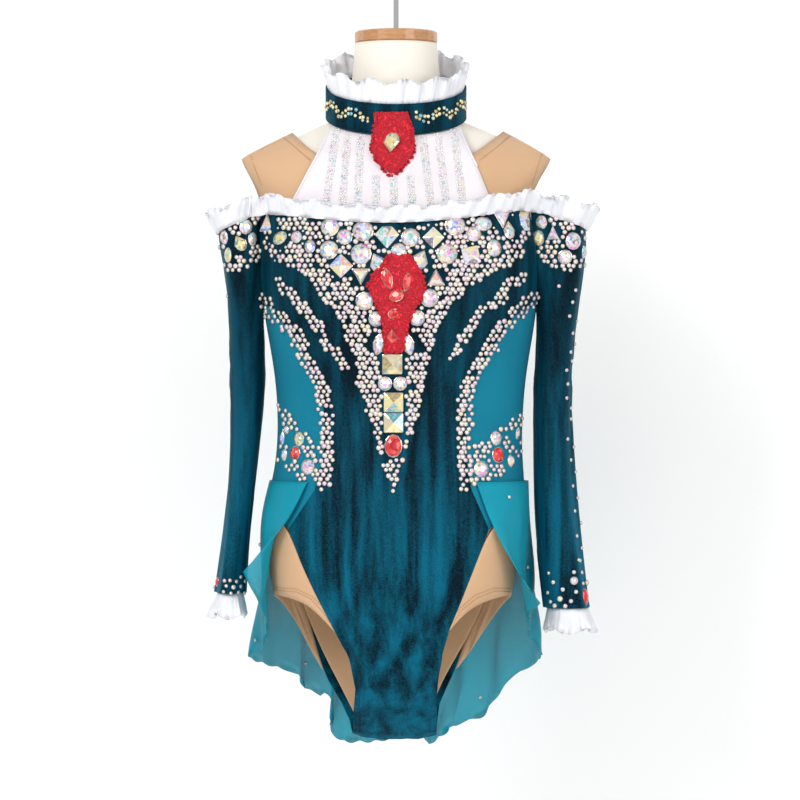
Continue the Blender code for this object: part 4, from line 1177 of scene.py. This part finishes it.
# %% Bead field, lines and clusters
FRONT_V = V_LEFT + V_RIGHT
FIELD_BOX, FILL_BOX = ((212, 205), (596, 492)), ((262, 212), (534, 290))
FIELD_PITCH, FIELD_SHIFT, FIELD_KEPT, FIELD_CLEAR = 5.35, 1.0, 0.97, 1.4
FILL_PITCH, FILL_SPACE, FILL_CLEAR = 3.7, 4.2, 0.6
FOOT_BEADS = [(392, 479, 4.6, 0.1), (394, 485, 4.6, 0.3), (393, 491, 4.6, 0.6)]


def bead_field():
    """Even beads inside the outlines, and smaller ones between the neckline's stones."""
    rng = random.Random(11)
    spots = []
    for x, y in honeycomb(*FIELD_BOX, FIELD_PITCH, rng, FIELD_SHIFT):
        hit = inside_outline(x, y, FRONT_V)
        hit = hit or any(inside_outline(x, y, patch) for patch in PATCHES)
        hit = hit or any(near_line(x, y, line) < reach for line, reach in LINES)
        if hit and rng.random() < FIELD_KEPT and clear_of_stones(x, y, FIELD_CLEAR):
            spots.append((x, y, rng.uniform(4.4, 5.9), rng.random()))
    for x, y in honeycomb(*FILL_BOX, FILL_PITCH, rng):
        crowded = any(math.hypot(x - s[0], y - s[1]) < FILL_SPACE for s in spots)
        if not crowded and inside_outline(x, y, FRONT_V) and clear_of_stones(x, y, FILL_CLEAR):
            spots.append((x, y, rng.uniform(2.6, 3.4), rng.random()))
    return spots + FOOT_BEADS


field = beads_object("bead_field", bead_field(), cloth_tree, BEAD)


# %% Single beads
SLEEVE_SINGLES = [
    (559, 286), (575, 290), (572, 302), (569, 316), (576, 321), (572, 333), (574, 344),
    (570, 352), (571, 361), (566, 370), (567, 384), (566, 398), (570, 408), (570, 419),
    (567, 439), (573, 447), (570, 460), (575, 472), (572, 486), (577, 498), (574, 511),
    (580, 523), (576, 536), (581, 548), (578, 560), (223, 282), (228, 296), (224, 312),
]
EDGE_SINGLES = [(216, 572), (240, 577)]
CUFF_RIGHT = [
    (573.5, 572.2, 4.6), (573.5, 580.8, 9.0), (581, 572.5, 4.3), (579.2, 560.7, 4.2),
    (575.8, 591.8, 4.6), (582.3, 583.4, 4.2), (571, 601, 4.8), (560, 598.7, 6.4),
    (562.6, 589.4, 5.0), (554.8, 605.5, 5.0), (565.2, 606, 5.0), (553.3, 582.1, 4.6),
    (548.3, 592.5, 4.2), (549, 573, 3.8), (551, 601.5, 4.2), (585.5, 583, 6.4),
]


CUFF_LEFT = [(214, 574), (246, 578), (246, 601), (212, 596)]
CUFF_PITCH, CUFF_SHIFT = 6.4, 0.9


def cuff_beads():
    """Scattered beads above the left cuff, and the right cuff's own ones."""
    rng = random.Random(5)
    spots = []
    for x, y in honeycomb((205, 570), (250, 604), CUFF_PITCH, rng, CUFF_SHIFT):
        if inside_outline(x, y, CUFF_LEFT) and clear_of_stones(x, y, 1.0):
            spots.append((x, y, rng.uniform(3.6, 5.2), rng.random()))
    return spots + [(x, y, size, rng.random()) for x, y, size in CUFF_RIGHT]


singles = [(x, y, 4.2, (x * 0.37 + y * 0.11) % 1) for x, y in SLEEVE_SINGLES + EDGE_SINGLES]
sleeve_beads = beads_object("bead_singles", singles + cuff_beads(), cloth_tree, BEAD)


# %% Collar and yoke beads
COLLAR_STEPS, COLLAR_TURN, COLLAR_REACH = 45, 80, 71.6
COLLAR_EYE_LINE, COLLAR_SAG, COLLAR_WAVE, COLLAR_ROW = 97.5, 21.0, 3.2, 2.3
GEM_PX, GEM_CLEAR = 391, 21


def collar_beads():
    """Two uneven rows of gold beads that wave round the collar band."""
    spots = []
    rng = random.Random(9)
    for k in range(COLLAR_STEPS + 1):
        turn = math.radians(COLLAR_TURN * (2 * k / COLLAR_STEPS - 1))
        x = CENTRE_PX + COLLAR_REACH * math.sin(turn)
        y = COLLAR_EYE_LINE + COLLAR_SAG * math.cos(turn) + COLLAR_WAVE * math.sin(k * 0.9)
        if abs(x - GEM_PX) > GEM_CLEAR:
            for row in (-COLLAR_ROW, COLLAR_ROW):
                at = (x + rng.uniform(-0.9, 0.9), y + row + rng.uniform(-0.9, 0.9))
                spots.append((*at, rng.uniform(3.2, 4.6), rng.random()))
    return spots


STRIPE_TOPS = (336.5, 348, 361, 376, 393, 408, 422, 437, 454)
STRIPE_FEET = (325.5, 342, 357.5, 376, 394, 412.5, 431, 447, 463)
STRIPE_START, STRIPE_STEP, STRIPE_FOOT, STRIPE_ROW = 136, 2.6, 209, 2.7
STRIPE_LEVEL, STRIPE_TALL = 130, 78
LACE_PX, LACE_CLEAR, LACE_FOOT = 392, 22, 176


def stripe_beads():
    """Nine glitter stripes on the yoke, three small beads wide."""
    rng = random.Random(3)
    spots = []
    for k, (top, foot) in enumerate(zip(STRIPE_TOPS, STRIPE_FEET)):
        start = STRIPE_START - 6 * abs(k - 4) / 4
        for j in range(30):
            y = start + j * STRIPE_STEP
            if y > STRIPE_FOOT:
                break
            x = top + (foot - top) * (y - STRIPE_LEVEL) / STRIPE_TALL
            for step in (-1, 0, 1):
                if abs(x - LACE_PX) < LACE_CLEAR and y < LACE_FOOT:
                    continue
                spots.append((x + step * STRIPE_ROW + rng.uniform(-0.5, 0.5),
                              y + rng.uniform(-0.5, 0.5), rng.uniform(1.9, 3.0), rng.random()))
    return spots


gold_beads = beads_object("beads_on_collar", collar_beads(), tree_of([collar]), GOLD)
stripes = beads_object("beads_on_yoke", stripe_beads(), tree_of([yoke]), GLITTER, detail=1,
                       flat=0.55)


# %% Picots round the lace
COLLAR_LACE_EDGE = [
    (374, 113), (376, 122), (372.5, 134), (370, 150), (375, 160), (383, 169), (390, 176),
    (397, 174), (404, 167), (411, 159), (415, 149), (413, 134), (410, 122), (408, 113),
]
CHEST_LACE_EDGE = [
    (390, 256), (383, 264), (373, 276), (368, 286), (372, 297), (378, 308), (384, 326),
    (384, 340), (385, 353), (394, 354), (402, 352), (405, 340), (408, 325), (415, 308),
    (422, 297), (426, 286), (422, 275), (416, 264), (409, 256),
]
PICOT_STEP = 2.4


def picots():
    """Little loops of cord, as beads in the lace's own red, round both appliques."""
    rng = random.Random(2)
    spots = []
    for edge in (COLLAR_LACE_EDGE, CHEST_LACE_EDGE):
        for (x1, y1), (x2, y2) in zip(edge, edge[1:]):
            steps = max(int(math.hypot(x2 - x1, y2 - y1) / PICOT_STEP), 1)
            for k in range(steps):
                t = k / steps
                spots.append((x1 + (x2 - x1) * t + rng.uniform(-1, 1),
                              y1 + (y2 - y1) * t + rng.uniform(-1, 1),
                              rng.uniform(2.6, 4.2), rng.random()))
    return spots


EDGE_TREE = tree_of([chest_lace, collar_lace, front_cloth, yoke, collar])
picot_cords = beads_object("lace_picots", picots(), EDGE_TREE, LACE, flat=0.5)


# %% [markdown]
# ## Stitches and bound edges
#
# A second node tree lays stitches: it takes a line on the cloth, cuts it into equal
# steps and puts a short thread at each, aimed along the line.

# %% Stitch node tree
STITCH_SHARE = 0.72


def stitch_group():
    tree, given, out, sockets = copies_group(
        "lay_stitches", (("Step", "Float", 0.0026), ("Thickness", "Float", 0.0007)))
    line = wired(tree, "GeometryNodeMeshToCurve", {"Mesh": (given, "Geometry")})
    even = wired(tree, "GeometryNodeResampleCurve",
                 {"Curve": (line, "Curve"), "Length": (given, "Step")}, mode="LENGTH")
    thread = add(tree, "GeometryNodeMeshIcoSphere", radius=0.5, subdivisions=1)
    long = maths(tree, "MULTIPLY", (given, "Step"), STITCH_SHARE)
    size = wired(tree, "ShaderNodeCombineXYZ",
                 {0: (given, "Thickness"), 1: (given, "Thickness"), 2: (long, 0)})
    along = add(tree, "GeometryNodeInputTangent")
    copies_on(tree, given, out, (even, "Curve"), (thread, "Mesh"), (along, "Tangent"),
              (size, 0))
    return tree, sockets


STITCHES = stitch_group()


def line_on_cloth(pixels, tree, rise=0.25):
    """Close points on the cloth under a polyline of pixels."""
    places = []
    for (x1, y1), (x2, y2) in zip(pixels, pixels[1:]):
        steps = max(int(math.hypot(x2 - x1, y2 - y1) / 3), 1)
        for k in range(steps + 1):
            met = on_cloth(tree, x1 + (x2 - x1) * k / steps, y1 + (y2 - y1) * k / steps)
            if met and (not places or (met[0] - places[-1]).length < 0.02):
                places.append(met[0] + met[1] * rise * MM)
    return places


def stitched(name, lines, tree, mat, step=0.0026, thick=0.0008):
    verts, edges = [], []
    for pixels in lines:
        places = line_on_cloth(pixels, tree)
        start = len(verts)
        verts += places
        edges += [(start + k, start + k + 1) for k in range(len(places) - 1)]
    mesh = bpy.data.meshes.new(name)
    mesh.from_pydata(verts, edges, [])
    ob = placed(name, mesh)
    made_real(ob, STITCHES, {"Step": step, "Thickness": thick, "Material": mat})
    return dressed(ob)


# %% Stitch lines
THREAD_NUDE = jersey("thread_nude", (0.34, 0.19, 0.10), (0.46, 0.28, 0.15), 0.1)
THREAD_TEAL = jersey("thread_teal", (0.0, 0.03, 0.05), (0.0, 0.06, 0.09), 0.1)
NUDE_LINES = [
    [(250, 154), (256, 171), (261, 184)], [(281, 135.5), (296, 148), (310, 160)],
    [(543, 151), (537, 168), (532, 184)], [(512, 134), (496, 148), (480, 160)],
    [(272, 587), (297, 589), (313, 597), (324, 609), (334, 624)],
    [(272, 590), (297, 592), (311, 599), (322, 611), (332, 626)],
    [(513, 589), (494, 588), (475, 595), (460, 608), (450, 622)],
    [(513, 592), (495, 591), (477, 598), (462, 610), (452, 624)],
    [(303, 602), (311, 622), (320, 634), (323, 655), (330, 675)],
    [(489, 602), (481, 622), (472, 634), (469, 655), (462, 675)],
]
TEAL_LINES = [
    [(345, 640), (354, 660), (359, 676), (360, 694), (358, 716), (358, 732)],
    [(350, 640), (358, 660), (363, 677), (364, 694), (362, 716), (362, 732)],
    [(302, 560), (322, 596), (338, 628)], [(478, 568), (462, 602), (448, 634)],
]
nude_stitches = stitched("stitches_nude", NUDE_LINES,
                         tree_of([nude_front, hip_left, hip_right, lining]), THREAD_NUDE,
                         thick=0.0011)
teal_stitches = stitched("stitches_teal", TEAL_LINES, tree_of([front_cloth]), THREAD_TEAL,
                         thick=0.0012)


# %% Bound edges
def piping(name, places, radius, mat):
    """Round cord along points, with closed ends."""
    curve = bpy.data.curves.new(name, "CURVE")
    curve.dimensions = "3D"
    curve.bevel_depth = radius
    curve.bevel_resolution = 2
    curve.use_fill_caps = True
    for run in places:
        line = curve.splines.new("POLY")
        line.points.add(len(run) - 1)
        for spot, at in zip(line.points, run):
            spot.co = (*at, 1.0)
    drawn = placed(name, curve)
    mesh = bpy.data.meshes.new_from_object(
        drawn.evaluated_get(bpy.context.evaluated_depsgraph_get()))
    bpy.data.objects.remove(drawn)
    mesh.materials.clear()
    mesh.materials.append(mat)
    mesh.shade_smooth()
    return dressed(placed(name, mesh))


YOKE_EDGES = [[(332.5, 125), (322, 146), (305, 178), (291.5, 203)],
              [(458.5, 125), (467, 146), (480, 172), (491, 195)]]
CROTCH_TOP, RIM_DEEP = -0.78, 0.003
CROTCH_LEFT, CROTCH_WIDE, CROTCH_STEPS = -0.0405, 0.0805, 14


def crotch_seam():
    """Points between the front and back panels' lower edges, from left to right."""
    def rim(ob, face):
        low = [v.co for v in ob.data.vertices if v.co.z < CROTCH_TOP]
        end = max(face * spot.y for spot in low)
        return [spot for spot in low if face * spot.y > end - RIM_DEEP]

    front_rim, back_rim = rim(front_cloth, 1), rim(back_cloth, -1)
    places = []
    for k in range(CROTCH_STEPS + 1):
        x = CROTCH_LEFT + CROTCH_WIDE * k / CROTCH_STEPS
        ends = [min(side, key=lambda spot: abs(spot.x - x)) for side in (front_rim, back_rim)]
        places.append((ends[0] + ends[1]) / 2)
    return places


crotch_binding = piping("crotch_seam", [crotch_seam()], 1.1 * MM, VELVET)
yoke_tree = tree_of([yoke])
yoke_piping = piping("yoke_binding", [line_on_cloth(e, yoke_tree, 0.2) for e in YOKE_EDGES],
                     0.9 * MM, ORGANZA)


# %% Shoulder band
BAND_FROM, BAND_LONG, BAND_STEPS, BAND_EDGES = 0.101, 0.054, 12, (-0.013, 0.016)
BAND_LIFT = Vector((0, 0, 0.0006))


def shoulder_band():
    """Strips of nude stretch over the seams on top of the shoulders."""
    tree = tree_of([nude_front, nude_back])
    verts, faces = [], []
    for side in (-1, 1):
        rows = 0
        for k in range(BAND_STEPS + 1):
            x = side * (BAND_FROM + BAND_LONG * k / BAND_STEPS)
            ends = [tree.ray_cast(Vector((x, y, 0)), Vector((0, 0, -1)))[0]
                    for y in BAND_EDGES]
            if None in ends:
                continue
            if rows:
                p = len(verts)
                faces += [(p - 3, p - 2, p + 1, p), (p - 2, p - 1, p + 2, p + 1)]
            crest = (ends[0] + ends[1]) / 2 + BAND_LIFT * 3
            verts += [ends[0] + BAND_LIFT, crest, ends[1] + BAND_LIFT]
            rows += 1
    work = bmesh.new()
    spots = [work.verts.new(v) for v in verts]
    for face in faces:
        work.faces.new([spots[k] for k in face])
    bmesh.ops.recalc_face_normals(work, faces=work.faces)
    ob = as_object("shoulder_bands", work, NUDE)
    subdivided(ob, 1)
    thickened(ob, 0.8 * MM)
    return dressed(ob)


shoulders = shoulder_band()


# %% Skirt beads
HANGING = [(260.6, 544.6), (508.7, 497), (527, 567), (305, 663), (480, 697), (256, 640)]
skirt_beads = beads_object("beads_on_skirt", [(x, y, 4.0, 0.05) for x, y in HANGING],
                           tree_of([skirt]), BEAD)


# %% [markdown]
# ## Cloth facts
#
# Each cloth piece's finished shell is measured for half its area and its height, from
# which the width laid flat would follow; nothing is kept or stated.

# %% Measure the cloth
def surface_area(ob):
    deps = bpy.context.evaluated_depsgraph_get()
    return sum(p.area for p in ob.evaluated_get(deps).to_mesh().polygons)


def state_sheet(ob, tall=None):
    """Half the shell's measured area and its height; neither is returned."""
    area = surface_area(ob) / 2
    heights = [v.co.z for v in ob.data.vertices]
    tall = tall or max(heights) - min(heights)


for cloth in BODY_CLOTH + [nude_front, nude_back, lining, yoke, collar]:
    state_sheet(cloth)
state_sheet(shoulders, 0.06)
state_sheet(sleeve_left)
state_sheet(sleeve_right)
state_sheet(skirt)
state_sheet(neck_frill, 0.04)
state_sheet(collar_frill, 0.03)
state_sheet(cuff_left)
state_sheet(cuff_right)
state_sheet(collar_lace)
state_sheet(chest_lace)


# %% [markdown]
# Pieces that stand for no imported node are listed with the finish they share; nothing is set on
# them.

# %% Finish slots listed for the added pieces
for slot, pieces in (
    ("gold_stone", [large, yellow, blues, field, sleeve_beads, gold_beads, stripes,
                    skirt_beads]),
    ("red_stone", [reds, lace_gems]),
    ("red_lace", [picot_cords]),
    ("nude_stretch", [nude_stitches, shoulders]),
    ("teal_velvet", [teal_stitches, crotch_binding]),
    ("white_organza", [yoke_piping]),
):
    for piece in pieces:
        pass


# %% [markdown]
# ## Light and camera
#
# A pale wall and floor, one broad soft light from the upper left, a weak fill from the
# right and a light world keep the shadows soft, as in a plain studio.

# %% Stage
def stage_plane(name, corners, colour):
    mesh = bpy.data.meshes.new(name)
    mesh.from_pydata(corners, [], [(0, 1, 2, 3)])
    ob = placed(name, mesh)
    mat, tree, shader = blank(name + "_paint")
    tune(shader, {"Base Color": (*colour, 1), "Roughness": 0.9})
    geometry = add(tree, "ShaderNodeNewGeometry")
    away = maths(tree, "SUBTRACT", 1.0, (geometry, "Backfacing"))
    link(away, 0, shader, "Alpha")
    mesh.materials.append(mat)
    return ob


WALL_Y, FLOOR_Z, SPAN = 0.42, -1.75, 3.0
stage_plane("backdrop_wall", [(-SPAN, WALL_Y, FLOOR_Z), (SPAN, WALL_Y, FLOOR_Z),
                              (SPAN, WALL_Y, 2.0), (-SPAN, WALL_Y, 2.0)], (0.97, 0.965, 0.94))
stage_plane("studio_floor", [(-SPAN, -4.0, FLOOR_Z), (SPAN, -4.0, FLOOR_Z),
                             (SPAN, WALL_Y, FLOOR_Z), (-SPAN, WALL_Y, FLOOR_Z)],
            (0.85, 0.85, 0.84))
print("backdrop wall and studio floor laid")


# %% Lights
def soft_light(name, place, target, size, power, colour=(1, 1, 1)):
    lamp = bpy.data.lights.new(name, "AREA")
    lamp.shape = "SQUARE"
    lamp.size = size
    lamp.energy = power
    lamp.color = colour
    ob = placed(name, lamp)
    ob.location = place
    ob.rotation_euler = (Vector(target) - Vector(place)).to_track_quat("-Z", "Y").to_euler()


MIDDLE = (0, 0, -0.45)
soft_light("key_light", (-1.5, -2.2, 0.9), MIDDLE, 1.2, 40)
soft_light("fill_light", (1.8, -2.2, 0.1), MIDDLE, 1.6, 24)
soft_light("low_light", (0.0, -2.6, -1.3), MIDDLE, 1.4, 9)
world = bpy.data.worlds.new("studio_air")
world.use_nodes = True
tune(world.node_tree.nodes["Background"], {"Color": (0.95, 0.96, 1.0, 1), "Strength": 0.72})
bpy.context.scene.world = world


# %% Camera
lens = bpy.data.cameras.new("front_camera")
lens.sensor_width = 36.0
lens.lens = 180.0
camera = placed("front_camera", lens)
camera.location = EYE
camera.rotation_euler = (math.radians(90), 0, 0)
bpy.context.scene.camera = camera
bpy.context.scene.view_settings.view_transform = "Standard"
print("camera at", [round(v, 3) for v in EYE], "lens", lens.lens)
